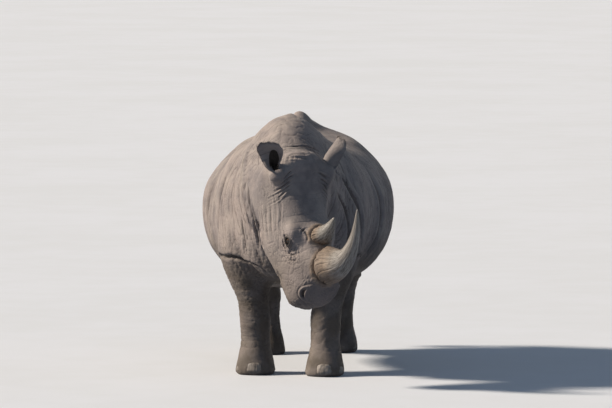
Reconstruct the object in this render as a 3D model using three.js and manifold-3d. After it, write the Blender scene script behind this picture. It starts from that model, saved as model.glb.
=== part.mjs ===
// A standing white rhinoceros bull with its head lowered to graze and turned to its left.
// Millimetres, +Z up. The animal faces -Y and its left side is +X. It stands on Z = 0.
//
// The flesh is one smooth field, negative inside, made of lofted bodies and ellipsoids that are
// blended together. Each flesh node is a faceted net over that field, trimmed at thin planar cuts,
// so neighbours share one outline. Horns, eyes, ears, tail and toenails are solids of their own,
// set into sockets that keep a small gap round them.

import * as THREE from "three";
import { mergeVertices } from "three/addons/utils/BufferGeometryUtils.js";
import Module from "manifold-3d";

const wasm = await Module();
wasm.setup();

// ---------------------------------------------------------------- driving dimensions

const HUMP_HEIGHT = 1750;
const HEAD_LENGTH = 945;
const HEAD_PITCH = THREE.MathUtils.degToRad(74); // below the horizontal
const HEAD_YAW = THREE.MathUtils.degToRad(39.5); // towards the animal's left
const POLL = new THREE.Vector3(157, -1480, 1494); // top of the head, between the ears
const NECK_BASE = new THREE.Vector3(0, -800, 1180);
const NECK_END = new THREE.Vector3(64, -1350, 1285);
const GAP = 0.5; // between touching pieces
const CUT = 0.5; // width of a cut through the flesh

// The canon of proportions: the body is measured in hundredths of the height at the hump,
// and the head in hundredths of its own length.
const U = HUMP_HEIGHT / 100;
const V = HEAD_LENGTH / 100;

const LEFT = 1;
const RIGHT = -1;
const SIDES = { left: LEFT, right: RIGHT };

// ---------------------------------------------------------------- frames

const UP = new THREE.Vector3(0, 0, 1);

/** A matrix whose X runs along `forward`, Y to the animal's left and Z to its back. */
function frame(origin, forward, left) {
  const back = new THREE.Vector3().crossVectors(forward, left);
  return new THREE.Matrix4().makeBasis(forward, left, back).setPosition(origin);
}

const heading = new THREE.Vector3(Math.sin(HEAD_YAW), -Math.cos(HEAD_YAW), 0);
const HEAD = frame(
  POLL,
  heading.clone().multiplyScalar(Math.cos(HEAD_PITCH)).addScaledVector(UP, -Math.sin(HEAD_PITCH)),
  new THREE.Vector3().crossVectors(UP, heading),
);
const neckAxis = NECK_END.clone().sub(NECK_BASE).normalize();
const NECK = frame(NECK_BASE, neckAxis, new THREE.Vector3().crossVectors(UP, neckAxis).normalize());
const TRUNK = frame(new THREE.Vector3(), new THREE.Vector3(0, 1, 0), new THREE.Vector3(-1, 0, 0));

/** A point of the head, in hundredths of its length: along the face, to the left, off the brow. */
const onHead = (along, left, off) => new THREE.Vector3(along * V, left * V, off * V);

// ---------------------------------------------------------------- fields

/** Reads `key` at `at` along a row of stations, as one smooth curve through them. */
function reader(stations, key) {
  const n = stations.length - 1;
  const at = stations.map((s) => s.at);
  const value = stations.map((s) => s[key] ?? 0);
  const slope = at.map((_, i) => {
    const [a, b] = [Math.max(i - 1, 0), Math.min(i + 1, n)];
    return (value[b] - value[a]) / (at[b] - at[a]);
  });
  return (x) => {
    if (x <= at[0]) return value[0];
    if (x >= at[n]) return value[n];
    let i = 0;
    while (x > at[i + 1]) i++;
    const h = at[i + 1] - at[i];
    const t = (x - at[i]) / h;
    const rise = value[i + 1] - value[i];
    const [p, q] = [slope[i] * h - rise, rise - slope[i + 1] * h];
    return value[i] + rise * t + t * (1 - t) * (p * (1 - t) + q * t);
  };
}

/**
 * A body lofted along X of `matrix`. Each station gives its place `at`, the levels of its `top`
 * and `bottom`, its `half` width and the level `wide` where it is widest, with `shift` to the left.
 * `roof` and `keel` are the powers of the section's upper and lower halves: 2 is an ellipse.
 */
function loft({ matrix, stations, unit, roof = 2, keel = 2 }) {
  const inverse = matrix.clone().invert();
  const rows = stations.map((s) =>
    Object.fromEntries(Object.entries(s).map(([key, v]) => [key, v * unit])));
  const [top, bottom, half, wide, shift] = ["top", "bottom", "half", "wide", "shift"].map((key) =>
    reader(rows, key));
  const [first, last] = [rows[0].at, rows[rows.length - 1].at];
  const p = new THREE.Vector3();
  return (x, y, z) => {
    p.set(x, y, z).applyMatrix4(inverse);
    const level = wide(p.x);
    const tall = p.z > level ? top(p.x) - level : level - bottom(p.x);
    const power = p.z > level ? roof : keel;
    const broad = half(p.x);
    const across = Math.abs(p.y - shift(p.x)) / broad;
    const up = Math.abs(p.z - level) / tall;
    const reach = (across ** power + up ** power) ** (1 / power);
    const past = Math.max(first - p.x, p.x - last);
    return Math.max((reach - 1) * Math.min(broad, tall), past);
  };
}

/** An ellipsoid with its radii along the axes of `matrix`, `turn` degrees about its own Y. */
function ball(matrix, centre, radii, turn = 0) {
  const place = matrix
    .clone()
    .multiply(new THREE.Matrix4().makeTranslation(centre))
    .multiply(new THREE.Matrix4().makeRotationY(THREE.MathUtils.degToRad(turn)));
  const inverse = place.invert();
  const p = new THREE.Vector3();
  return (x, y, z) => {
    p.set(x, y, z).applyMatrix4(inverse).divide(radii);
    const reach = p.length();
    return reach < 1e-6 ? -radii.x : (reach * (reach - 1)) / p.divide(radii).length();
  };
}

/** The smaller of two fields, rounded where they are within `soft` of each other. */
function blend(a, b, soft) {
  const near = Math.max(soft - Math.abs(a - b), 0) / soft;
  return Math.min(a, b) - (near * near * soft) / 4;
}

// ---------------------------------------------------------------- trunk and neck

const trunkLoft = loft({
  matrix: TRUNK,
  unit: U,
  roof: 2.2,
  keel: 2.25,
  stations: [
    { at: -61, top: 76, bottom: 50, half: 8, wide: 63 },
    { at: -55, top: 88, bottom: 43, half: 16, wide: 61 },
    { at: -43, top: 93, bottom: 37.4, half: 23, wide: 60 },
    { at: -26, top: 91, bottom: 33.7, half: 30, wide: 60.5 },
    { at: -6, top: 88.5, bottom: 30.3, half: 35.8, wide: 61 },
    { at: 14, top: 88.3, bottom: 28.9, half: 37.4, wide: 61 },
    { at: 31, top: 91.2, bottom: 32, half: 34.6, wide: 62 },
    { at: 46, top: 90, bottom: 40, half: 28.4, wide: 63.5 },
    { at: 57, top: 83.5, bottom: 47.4, half: 21.5, wide: 64.6 },
    { at: 64.5, top: 73.7, bottom: 54.9, half: 13, wide: 64.6 },
    { at: 68, top: 67, bottom: 62, half: 4, wide: 64.6 },
  ],
});

const neckLoft = loft({
  matrix: NECK,
  unit: U,
  roof: 2,
  keel: 2.1,
  stations: [
    { at: -12, top: 24, bottom: -24, half: 18 },
    { at: 0, top: 25, bottom: -24, half: 19 },
    { at: 9, top: 23, bottom: -20.5, half: 18.7 },
    { at: 18, top: 19, bottom: -17.5, half: 17 },
    { at: 26, top: 16, bottom: -15.5, half: 14.6 },
    { at: 33, top: 13, bottom: -13.5, half: 12 },
  ],
});

/** An ellipsoid of the body, placed and sized in hundredths of the height. */
const mass = (x, y, z, across, along, tall, turn) =>
  ball(
    TRUNK,
    new THREE.Vector3(y * U, -x * U, z * U),
    new THREE.Vector3(along * U, across * U, tall * U),
    turn,
  );

const pair = (make) => Object.values(SIDES).map(make);

const trunkMasses = [
  { soft: 150, field: mass(0, -48, 79.5, 13, 20, 20.5, 0) }, // nuchal hump
  { soft: 120, field: mass(0, -50, 50, 15, 12, 13, 0) }, // brisket
  { soft: 110, field: mass(-0.5, 33, 85.2, 6, 14, 12, 0) }, // sacral ridge
  ...pair((side) => ({ soft: 90, field: mass(side * 17.5, -34, 62, 10.5, 14, 25, 8) })), // shoulder
  ...pair((side) => ({ soft: 70, field: mass(side * 18.5, 24, 81, 5, 7, 5, 0) })), // hip bone
  ...pair((side) => ({ soft: 100, field: mass(side * 18.5, 46, 58, 12, 19, 24, 14) })), // thigh
];

// ---------------------------------------------------------------- legs

/** A leg is a column of level sections: their heights, places and half widths and depths. */
function limb(sections, side, stride) {
  const top = sections[0].at;
  const rows = sections.map((s) => ({ ...s, y: s.y + stride * (1 - s.at / top) })).reverse();
  const [x, y, across, along] = ["x", "y", "across", "along"].map((key) => reader(rows, key));
  const field = (px, py, pz) => {
    const level = pz / U;
    const [a, b] = [across(level) * U, along(level) * U];
    const dx = (px - side * x(level) * U) / a;
    const dy = (py - y(level) * U) / b;
    return Math.max((Math.hypot(dx, dy) - 1) * Math.min(a, b), pz - top * U, -pz - 4 * U);
  };
  const centre = (level) => new THREE.Vector3(side * x(level) * U, y(level) * U, level * U);
  return { sections, side, fore: sections === FORE_SECTIONS, field, centre, across, along };
}

const FORE_SECTIONS = [
  { at: 60, x: 16, y: -33.5, across: 8, along: 11 },
  { at: 46, x: 17.1, y: -34.3, across: 9.7, along: 11.6 },
  { at: 39, x: 16.6, y: -35.4, across: 8.4, along: 9.5 },
  { at: 31.4, x: 15.1, y: -36.6, across: 6.9, along: 7.5 },
  { at: 25, x: 14, y: -37.2, across: 5.9, along: 6.3 },
  { at: 20.5, x: 13.7, y: -37.5, across: 6.3, along: 6.6 },
  { at: 14, x: 13.5, y: -37.3, across: 5.6, along: 5.8 },
  { at: 8, x: 13.5, y: -37.8, across: 6.4, along: 6.9 },
  { at: 3, x: 13.5, y: -38.8, across: 7.8, along: 8.6 },
  { at: 0, x: 13.5, y: -38.8, across: 7.5, along: 8.2 },
];
const HIND_SECTIONS = [
  { at: 60, x: 17.5, y: 48, across: 9, along: 17 },
  { at: 46, x: 18.3, y: 42.5, across: 9.2, along: 14.6 },
  { at: 39, x: 18, y: 41, across: 8, along: 10.8 },
  { at: 32, x: 16.6, y: 44.2, across: 6.6, along: 8.3 },
  { at: 25.5, x: 15, y: 49, across: 5.6, along: 7 },
  { at: 21.5, x: 14.6, y: 50.2, across: 5.5, along: 6.6 },
  { at: 15, x: 14.3, y: 49.4, across: 5, along: 5.4 },
  { at: 8.5, x: 14.3, y: 48.4, across: 5.8, along: 6.3 },
  { at: 3, x: 14.3, y: 47, across: 7.2, along: 7.9 },
  { at: 0, x: 14.3, y: 47, across: 6.9, along: 7.6 },
];

const LEGS = {
  leg_front_left: limb(FORE_SECTIONS, LEFT, -3),
  leg_front_right: limb(FORE_SECTIONS, RIGHT, 2),
  leg_hind_left: limb(HIND_SECTIONS, LEFT, 4),
  leg_hind_right: limb(HIND_SECTIONS, RIGHT, -6),
};

// ---------------------------------------------------------------- head

const headLoft = loft({
  matrix: HEAD,
  unit: V,
  roof: 2.3,
  keel: 3,
  stations: [
    { at: -7, top: -7, bottom: -27, half: 15, wide: -16 },
    { at: 0, top: -1, bottom: -34, half: 20, wide: -16 },
    { at: 11, top: -2.5, bottom: -41, half: 20.6, wide: -18 },
    { at: 24, top: -4, bottom: -45.5, half: 19, wide: -22 },
    { at: 36, top: -3.5, bottom: -46.5, half: 19.2, wide: -22 },
    { at: 48, top: -1, bottom: -47.5, half: 20, wide: -21 },
    { at: 57, top: 1.2, bottom: -47, half: 19, wide: -21 },
    { at: 67, top: 2, bottom: -44.5, half: 18, wide: -21 },
    { at: 76, top: 2.4, bottom: -40.5, half: 17.2, wide: -21 },
    { at: 86, top: -0.5, bottom: -36, half: 17, wide: -20.5 },
    { at: 93, top: -6, bottom: -32.5, half: 16, wide: -20.5 },
    { at: 98, top: -12.5, bottom: -28.5, half: 12.6, wide: -20.5 },
    { at: 100, top: -17, bottom: -24, half: 6.8, wide: -20.5 },
  ],
});

/** An ellipsoid of the head: its place and radii, along the face, to the left and off the brow. */
const lump = (soft, place, radii, turn) => ({
  soft,
  field: ball(HEAD, onHead(...place), onHead(...radii), turn),
});

const headMasses = [
  lump(45, [0, 0, -5.5], [8, 15, 6]), // nuchal crest
  lump(40, [55, 0, -1.2], [9, 10, 4.5]), // boss of the rear horn
  lump(40, [74, 0, -1], [15, 12.5, 5.5]), // boss of the front horn
  lump(60, [92, 0, -28], [8, 11, 6]), // chin
  ...pair((side) => lump(45, [8, side * 20.5, -8], [7, 7, 7])), // root of the ear
  ...pair((side) => lump(60, [46, side * 12, -32], [18, 9, 13])), // cheek
  ...pair((side) => lump(35, [50.5, side * 16, -9], [7, 4.6, 5])), // brow
  ...pair((side) => lump(40, [87, side * 10.5, -11], [7.5, 5.5, 7])), // rim of the nostril
  ...pair((side) => lump(40, [91, side * 9.5, -21], [7.5, 7.5, 6.5])), // upper lip
];

// ---------------------------------------------------------------- the whole flesh

function flesh(x, y, z) {
  let trunk = trunkLoft(x, y, z);
  for (const { field, soft } of trunkMasses) trunk = blend(trunk, field(x, y, z), soft);
  for (const { field } of Object.values(LEGS)) trunk = blend(trunk, field(x, y, z), 70);
  let head = headLoft(x, y, z);
  for (const { field, soft } of headMasses) head = blend(head, field(x, y, z), soft);
  return blend(blend(trunk, neckLoft(x, y, z), 130), head, 90);
}

// ---------------------------------------------------------------- meshes and solids

/** A closed BufferGeometry from rings of points, all alike in number, with a point at each end. */
function ringMesh(start, rings, end) {
  const around = rings[0].length;
  const points = [start, ...rings.flat(), end];
  const index = [];
  const at = (ring, i) => 1 + ring * around + (i % around);
  for (let i = 0; i < around; i++) {
    index.push(0, at(0, i), at(0, i + 1));
    index.push(points.length - 1, at(rings.length - 1, i + 1), at(rings.length - 1, i));
    for (let r = 0; r + 1 < rings.length; r++) {
      index.push(at(r, i), at(r + 1, i + 1), at(r, i + 1));
      index.push(at(r, i), at(r + 1, i), at(r + 1, i + 1));
    }
  }
  const geometry = new THREE.BufferGeometry().setFromPoints(points);
  geometry.setIndex(index);
  return geometry;
}

/** A solid from a closed geometry. */
function solid(geometry) {
  const bare = geometry.clone();
  bare.deleteAttribute("normal");
  bare.deleteAttribute("uv");
  const merged = mergeVertices(bare, 1e-4);
  return new wasm.Manifold(
    new wasm.Mesh({
      numProp: 3,
      vertProperties: merged.attributes.position.array,
      triVerts: new Uint32Array(merged.index.array),
    }),
  );
}

/** The outward slope of a field at a point, and the field's value there. */
function slopeOf(field, p) {
  const STEP = 1;
  const here = field(p.x, p.y, p.z);
  const slope = new THREE.Vector3(
    field(p.x + STEP, p.y, p.z) - here,
    field(p.x, p.y + STEP, p.z) - here,
    field(p.x, p.y, p.z + STEP) - here,
  );
  return { here, slope: slope.divideScalar(STEP) };
}

/**
 * A closed net over the zero surface of a field inside a box of cells: one point per crossed cell,
 * drawn onto the surface, and a face across each crossed edge of the grid.
 */
function netOver(field, { matrix, low, high, cell }) {
  const [nx, ny, nz] = cell.map((size, axis) => Math.ceil((high[axis] - low[axis]) / size) + 1);
  const corner = (...place) =>
    new THREE.Vector3(...place.map((n, axis) => low[axis] + n * cell[axis])).applyMatrix4(matrix);
  const at = (i, j, k) => (k * ny + j) * nx + i;
  const values = new Float64Array(nx * ny * nz).fill(1);
  for (let k = 1; k < nz - 1; k++) {
    for (let j = 1; j < ny - 1; j++) {
      for (let i = 1; i < nx - 1; i++) {
        const p = corner(i, j, k);
        values[at(i, j, k)] = field(p.x, p.y, p.z);
      }
    }
  }
  const points = [];
  const pointOf = new Map();
  const pointIn = (i, j, k) => {
    const key = at(i, j, k);
    if (pointOf.has(key)) return pointOf.get(key);
    const sum = new THREE.Vector3();
    let crossings = 0;
    for (const [axis, [u, v]] of [[0, [1, 2]], [1, [0, 2]], [2, [0, 1]]]) {
      for (const [du, dv] of [[0, 0], [1, 0], [0, 1], [1, 1]]) {
        const a = [i, j, k];
        a[u] += du;
        a[v] += dv;
        const b = [...a];
        b[axis] += 1;
        const [fa, fb] = [values[at(...a)], values[at(...b)]];
        if (fa < 0 === fb < 0) continue;
        sum.add(corner(...a).lerp(corner(...b), fa / (fa - fb)));
        crossings += 1;
      }
    }
    const p = sum.divideScalar(crossings);
    for (let turn = 0; turn < 4; turn++) {
      const { here, slope } = slopeOf(field, p);
      const step = THREE.MathUtils.clamp(here / slope.lengthSq(), -cell[2] / 4, cell[2] / 4);
      p.addScaledVector(slope, -step);
    }
    pointOf.set(key, points.length);
    points.push(p);
    return points.length - 1;
  };
  const index = [];
  const face = (a, b, c, d, flip) => {
    const quad = flip ? [a, d, c, b] : [a, b, c, d];
    const [p, q, r, s] = quad.map((v) => points[v]);
    const across = p.distanceTo(r) <= q.distanceTo(s);
    const [w, x, y, z] = quad;
    index.push(...(across ? [w, x, y, w, y, z] : [x, y, z, x, z, w]));
  };
  for (let k = 0; k < nz - 1; k++) {
    for (let j = 0; j < ny - 1; j++) {
      for (let i = 0; i < nx - 1; i++) {
        const inside = values[at(i, j, k)] < 0;
        if (inside !== values[at(i + 1, j, k)] < 0) {
          const ring = [[i, j - 1, k - 1], [i, j, k - 1], [i, j, k], [i, j - 1, k]];
          face(...ring.map((c) => pointIn(...c)), !inside);
        }
        if (inside !== values[at(i, j + 1, k)] < 0) {
          const ring = [[i - 1, j, k - 1], [i - 1, j, k], [i, j, k], [i, j, k - 1]];
          face(...ring.map((c) => pointIn(...c)), !inside);
        }
        if (inside !== values[at(i, j, k + 1)] < 0) {
          const ring = [[i - 1, j - 1, k], [i, j - 1, k], [i, j, k], [i - 1, j, k]];
          face(...ring.map((c) => pointIn(...c)), !inside);
        }
      }
    }
  }
  const geometry = new THREE.BufferGeometry().setFromPoints(points);
  geometry.setIndex(index);
  return geometry;
}

/** A block whose top face lies in a cut: `centre` of that face, its `normal`, and its size. */
function block(centre, normal, width, length, depth) {
  const geometry = new THREE.BoxGeometry(width, length, depth);
  geometry.translate(0, 0, -depth / 2);
  geometry.applyQuaternion(new THREE.Quaternion().setFromUnitVectors(UP, normal));
  return geometry.translate(centre.x, centre.y, centre.z);
}

// ---------------------------------------------------------------- cuts through the flesh

const FAR = 3000; // a cut's block reaches past everything

const headPoint = (...place) => onHead(...place).applyMatrix4(HEAD);

/** A cut is a plane: a point on it and the direction of the piece that it bounds. */
const collar = (() => {
  const nape = headPoint(-7, 0, 1);
  const throat = headPoint(38, 0, -45);
  const left = new THREE.Vector3().setFromMatrixColumn(HEAD, 1);
  const down = throat.clone().sub(nape).normalize();
  return { point: nape.clone().lerp(throat, 0.5), towards: down.cross(left).normalize() };
})();
const shoulderLine = {
  point: new THREE.Vector3(0, -50 * U, 70 * U),
  towards: new THREE.Vector3(0, -Math.cos(0.12), -Math.sin(0.12)),
};
/** The sloping cut over a leg: a point on it and its direction down into the leg. */
function legCut({ fore, side }) {
  const slope = 0.38; // how steeply the cut rises outwards
  const [across, along, up] = fore ? [15, -37.5, 36] : [16.5, 47, 35];
  return {
    point: new THREE.Vector3(side * across * U, along * U, up * U),
    towards: new THREE.Vector3(side * Math.sin(slope), 0, -Math.cos(slope)),
  };
}

/** The block of flesh under a leg's cut, larger than that by `grow`. */
function legBlock(leg, grow) {
  const { point, towards } = legCut(leg);
  const face = point.clone().addScaledVector(towards, -grow);
  return solid(block(face, towards.clone().negate(), 44 * U, (leg.fore ? 24 : 36) * U, 80 * U));
}

/** Everything on the far side of a cut, less `gap`. */
const half = ({ point, towards }, gap) =>
  solid(block(point.clone().addScaledVector(towards, -gap), towards.clone().negate(), FAR, FAR, FAR));

// ---------------------------------------------------------------- flesh nodes

/** What is left of `made` without each of the `cut` solids, less any loose slivers. */
function trim(made, cut) {
  const left = cut.reduce((rest, tool) => rest.subtract(tool), made);
  const pieces = left.decompose().sort((a, b) => b.volume() - a.volume());
  return pieces[0];
}

/**
 * Flesh inside a box of a frame, in millimetres along the frame's axes, and no further than
 * `MARGIN` past each of the `cuts` that bound it.
 */
function fleshIn({ matrix, cell, low, high, cuts = [] }) {
  const MARGIN = 1.8 * Math.max(...cell);
  const field = (x, y, z) => {
    const past = cuts.map(({ point, towards }) =>
      (point.x - x) * towards.x + (point.y - y) * towards.y + (point.z - z) * towards.z - MARGIN);
    return Math.max(flesh(x, y, z), ...past);
  };
  return solid(netOver(field, { matrix, cell, low, high }));
}

const turned = ({ point, towards }) => ({ point, towards: towards.clone().negate() });
const legBlocks = Object.values(LEGS).map((leg) => legBlock(leg, CUT / 2));

const TRUNK_REACH = 676; // to each side, so that a row of the net's corners follows the spine

function trunkSolid() {
  const made = fleshIn({
    matrix: TRUNK,
    cell: [130, 104, 104],
    low: [-62 * U, -TRUNK_REACH, 26 * U],
    high: [76 * U, TRUNK_REACH, 108 * U],
    cuts: [turned(shoulderLine)],
  });
  return trim(made, [half(shoulderLine, CUT / 2), ...legBlocks]);
}

function neckSolid() {
  const made = fleshIn({
    matrix: NECK,
    cell: [80, 78, 78],
    low: [-4 * U, -28 * U, -45 * U],
    high: [48 * U, 28 * U, 40 * U],
    cuts: [shoulderLine, turned(collar)],
  });
  return trim(made, [half(turned(shoulderLine), CUT / 2), half(collar, CUT / 2), ...legBlocks]);
}

function headSolid() {
  const made = fleshIn({
    matrix: HEAD,
    cell: [50, 46, 46],
    low: [-16 * V, -28 * V, -54 * V],
    high: [106 * V, 28 * V, 12 * V],
    cuts: [collar],
  });
  return trim(made, [half(turned(collar), CUT / 2)]);
}

function legSolid(leg) {
  const [low, high] = leg.fore ? [[-16, -20, -6], [16, 20, 50]] : [[-19, -18, -6], [19, 32, 50]];
  const made = fleshIn({
    matrix: new THREE.Matrix4().makeTranslation(leg.centre(0)),
    cell: [62, 66, 90],
    low: low.map((v) => v * U),
    high: high.map((v) => v * U),
    cuts: [legCut(leg)],
  });
  const ground = { point: new THREE.Vector3(), towards: UP.clone().negate() };
  return trim(made.intersect(legBlock(leg, -CUT / 2)), [half(ground, 0)]);
}

// ---------------------------------------------------------------- swept pieces

/** A closed body of rings swept along a curve, its ends `grow` past those of the curve. */
function sweep({ curve, rings, facing, grow }, outline) {
  const found = Array.from({ length: rings }, (_, i) => {
    const t = (i + 0.5) / rings;
    const centre = curve.getPoint(t);
    const along = curve.getTangent(t);
    const side = new THREE.Vector3().crossVectors(along, facing).normalize();
    const out = new THREE.Vector3().crossVectors(side, along);
    return outline(t).map(([a, b]) =>
      centre.clone().addScaledVector(side, a).addScaledVector(out, b));
  });
  const start = curve.getPoint(0).addScaledVector(curve.getTangent(0), -grow);
  const end = curve.getPoint(1).addScaledVector(curve.getTangent(1), grow);
  return ringMesh(start, found, end);
}

/** An oval outline of `around` points. */
const oval = (width, depth, around) =>
  Array.from({ length: around }, (_, k) => {
    const turn = (2 * Math.PI * k) / around;
    return [width * Math.cos(turn), depth * Math.sin(turn)];
  });

const headAxis = (column) => new THREE.Vector3().setFromMatrixColumn(HEAD, column);

// Half widths and half depths of the horns from the base to the tip, in hundredths of the head.
const HORNS = {
  horn_front: {
    curve: new THREE.CubicBezierCurve3(
      headPoint(74, 0, -1),
      headPoint(84, 0, 22),
      headPoint(74, 0, 40),
      headPoint(45, 0, 48.5),
    ),
    section: [
      { at: 0, across: 12, along: 13.5 },
      { at: 0.1, across: 12, along: 13.5 },
      { at: 0.22, across: 10.6, along: 11.6 },
      { at: 0.36, across: 8.2, along: 8.6 },
      { at: 0.55, across: 5.4, along: 5.6 },
      { at: 0.75, across: 3.2, along: 3.4 },
      { at: 0.88, across: 1.9, along: 2 },
      { at: 0.96, across: 1, along: 1 },
      { at: 1, across: 0.4, along: 0.4 },
    ],
    rings: 11,
  },
  horn_rear: {
    curve: new THREE.CubicBezierCurve3(
      headPoint(54.6, 0, -2),
      headPoint(56, 0, 7),
      headPoint(53, 0, 14),
      headPoint(45.5, 0, 21),
    ),
    section: [
      { at: 0, across: 9, along: 7.2 },
      { at: 0.25, across: 8, along: 6.8 },
      { at: 0.5, across: 5.4, along: 5.6 },
      { at: 0.8, across: 2.6, along: 3 },
      { at: 1, across: 0.6, along: 0.7 },
    ],
    rings: 6,
  },
};

function hornShape({ curve, section, rings }, grow) {
  const [across, along] = [reader(section, "across"), reader(section, "along")];
  return sweep({ curve, rings, facing: headAxis(0), grow }, (t) =>
    oval(across(t) * V + grow, along(t) * V + grow, 14));
}

/** The ear: a stalk that opens into a cup facing outwards and forwards. */
const EAR_LENGTH = 26;
// How far each ear leans out to its side and ahead, for each length that it rises.
const EAR_LEAN = { [LEFT]: { out: 0.42, ahead: 0.1 }, [RIGHT]: { out: 0.6, ahead: 0.4 } };
const EAR_TURN = THREE.MathUtils.degToRad(42); // how far the cup faces out to the side
const EAR_SECTION = [
  { at: 0, half: 3.8, deep: 3.8 },
  { at: 0.15, half: 4.4, deep: 4.6 },
  { at: 0.35, half: 6.8, deep: 6 },
  { at: 0.55, half: 8.8, deep: 6 },
  { at: 0.75, half: 8.8, deep: 5 },
  { at: 0.9, half: 7, deep: 3.4 },
  { at: 1, half: 3, deep: 1.4 },
];

function earShape(side, grow) {
  const root = headPoint(8, side * 23, -7.5);
  const lean = new THREE.Vector3(0, 0, 1)
    .addScaledVector(headAxis(1), side * EAR_LEAN[side].out)
    .addScaledVector(heading, EAR_LEAN[side].ahead)
    .normalize();
  const tip = root.clone().addScaledVector(lean, EAR_LENGTH * V);
  const bend = headAxis(1).multiplyScalar(side * 2.2 * V);
  const curve = new THREE.QuadraticBezierCurve3(root, root.clone().lerp(tip, 0.5).sub(bend), tip);
  const facing = heading
    .clone()
    .multiplyScalar(Math.cos(EAR_TURN))
    .addScaledVector(headAxis(1), side * Math.sin(EAR_TURN));
  const [halfWidth, deep] = [reader(EAR_SECTION, "half"), reader(EAR_SECTION, "deep")];
  const SPAN = 7; // points across the back of the cup, and as many across its hollow
  const turns = Array.from({ length: SPAN }, (_, k) => (Math.PI * k) / (SPAN - 1));
  return sweep({ curve, rings: 9, facing, grow }, (t) => {
    const [w, d] = [halfWidth(t) * V, deep(t) * V];
    const wall = THREE.MathUtils.lerp(1.3, 0.8, t) * V;
    const hollow = THREE.MathUtils.smoothstep(t, 0.12, 0.4) * (d * 1.15 - wall);
    const back = turns.map((turn) => [
      -(w + grow) * Math.cos(turn),
      grow - (d + 2 * grow) * Math.sin(turn),
    ]);
    const front = turns.map((turn) => [
      (w - wall * 0.7 - grow) * Math.cos(turn),
      d * 0.15 + grow - hollow * Math.sin(turn),
    ]);
    return [...back, ...front];
  });
}

/** The tail: a tapering rope with a flattened end, hanging from under the rump. */
const TAIL_SECTION = [
  { at: 0, across: 5, along: 4.4 },
  { at: 0.25, across: 3.6, along: 3.2 },
  { at: 0.7, across: 2, along: 1.9 },
  { at: 0.88, across: 2.4, along: 1.3 },
  { at: 1, across: 1.4, along: 0.9 },
];

function tailShape(grow) {
  const curve = new THREE.CubicBezierCurve3(
    new THREE.Vector3(0, 60 * U, 73 * U),
    new THREE.Vector3(0, 73 * U, 69 * U),
    new THREE.Vector3(-U, 72 * U, 52 * U),
    new THREE.Vector3(-2 * U, 69.5 * U, 35 * U),
  );
  const [across, along] = [reader(TAIL_SECTION, "across"), reader(TAIL_SECTION, "along")];
  const facing = new THREE.Vector3(0, -1, 0);
  return sweep({ curve, rings: 9, facing, grow }, (t) =>
    oval(across(t) * U + grow, along(t) * U + grow, 8));
}

// ---------------------------------------------------------------- eyes and toenails

const EYE_RADIUS = 18;
const EYE_PLACE = [55, 10, -12.5]; // under the brow, inside the flesh
const EYE_PROUD = 8; // how far the ball stands out of the flesh round it

function eyeShape(side, grow) {
  const [along, left, off] = EYE_PLACE;
  const inside = headPoint(along, side * left, off);
  const outwards = headAxis(1).multiplyScalar(side).addScaledVector(headAxis(2), 0.25).normalize();
  let reach = 0;
  while (flesh(...inside.clone().addScaledVector(outwards, reach)) < 0) reach += 1;
  const centre = inside.addScaledVector(outwards, reach + EYE_PROUD - EYE_RADIUS);
  return new THREE.SphereGeometry(EYE_RADIUS + grow, 10, 7).translate(...centre);
}

// Each foot has three nails: where each one faces, in degrees out from straight ahead, and its
// half width and height in hundredths of the height.
const TOES = {
  inner: { turn: -62, wide: 2.4, tall: 4.4 },
  middle: { turn: 0, wide: 3.2, tall: 5.4 },
  outer: { turn: 62, wide: 2.5, tall: 4.6 },
};
const NAIL_DEEP = 1.5; // half the thickness of a nail, most of it inside the foot

/** A nail: a rounded shield that follows the rim of the foot and slopes with it. */
function nailShape(leg, { turn, wide, tall }, grow) {
  const angle = THREE.MathUtils.degToRad(turn) * leg.side;
  const foot = leg.centre(3);
  const [a, b] = [leg.across(3) * U, leg.along(3) * U];
  const ahead = new THREE.Vector3(Math.sin(angle) / a, -Math.cos(angle) / b, 0).normalize();
  const place = new THREE.Vector3(foot.x + a * Math.sin(angle), foot.y - b * Math.cos(angle), 0)
    .addScaledVector(ahead, -(NAIL_DEEP - 0.6) * U);
  const lower = place.clone().setZ(0.4 * U);
  const upper = place.clone().addScaledVector(ahead, -0.3 * tall * U).setZ(tall * U);
  const curve = new THREE.LineCurve3(lower, upper);
  return sweep({ curve, rings: 3, facing: ahead, grow }, (t) => {
    const round = Math.sqrt(1 - 0.8 * Math.max(t - 0.35, 0) ** 2);
    return oval(wide * U * round + grow, NAIL_DEEP * U * round + grow, 10);
  });
}

// ---------------------------------------------------------------- assembly

const HIDE = { color: "#8f8580", roughness: 0.88 };
const LOOKS = {
  trunk: HIDE,
  neck: HIDE,
  head: { color: "#877d77", roughness: 0.86 },
  leg: { color: "#7d736c", roughness: 0.9 },
  tail: { color: "#756b65", roughness: 0.88 },
  ear: { color: "#7a706b", roughness: 0.85 },
  eye: { color: "#1d1510", roughness: 0.12 },
  horn: { color: "#a3947a", roughness: 0.62 },
  nail: { color: "#6e6457", roughness: 0.6 },
};

/** The geometry of a solid. */
function geometryOf(made) {
  const { vertProperties, triVerts, numProp } = made.getMesh();
  const geometry = new THREE.BufferGeometry();
  const position = new THREE.BufferAttribute(vertProperties, numProp);
  geometry.setAttribute("position", position);
  geometry.setIndex(new THREE.BufferAttribute(triVerts, 1));
  return geometry;
}

const nodes = [];

function add(name, look, made) {
  const material = new THREE.MeshStandardMaterial({ ...LOOKS[look], metalness: 0 });
  material.name = look;
  const mesh = new THREE.Mesh(geometryOf(made), material);
  mesh.name = name;
  nodes.push(mesh);
}

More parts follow.
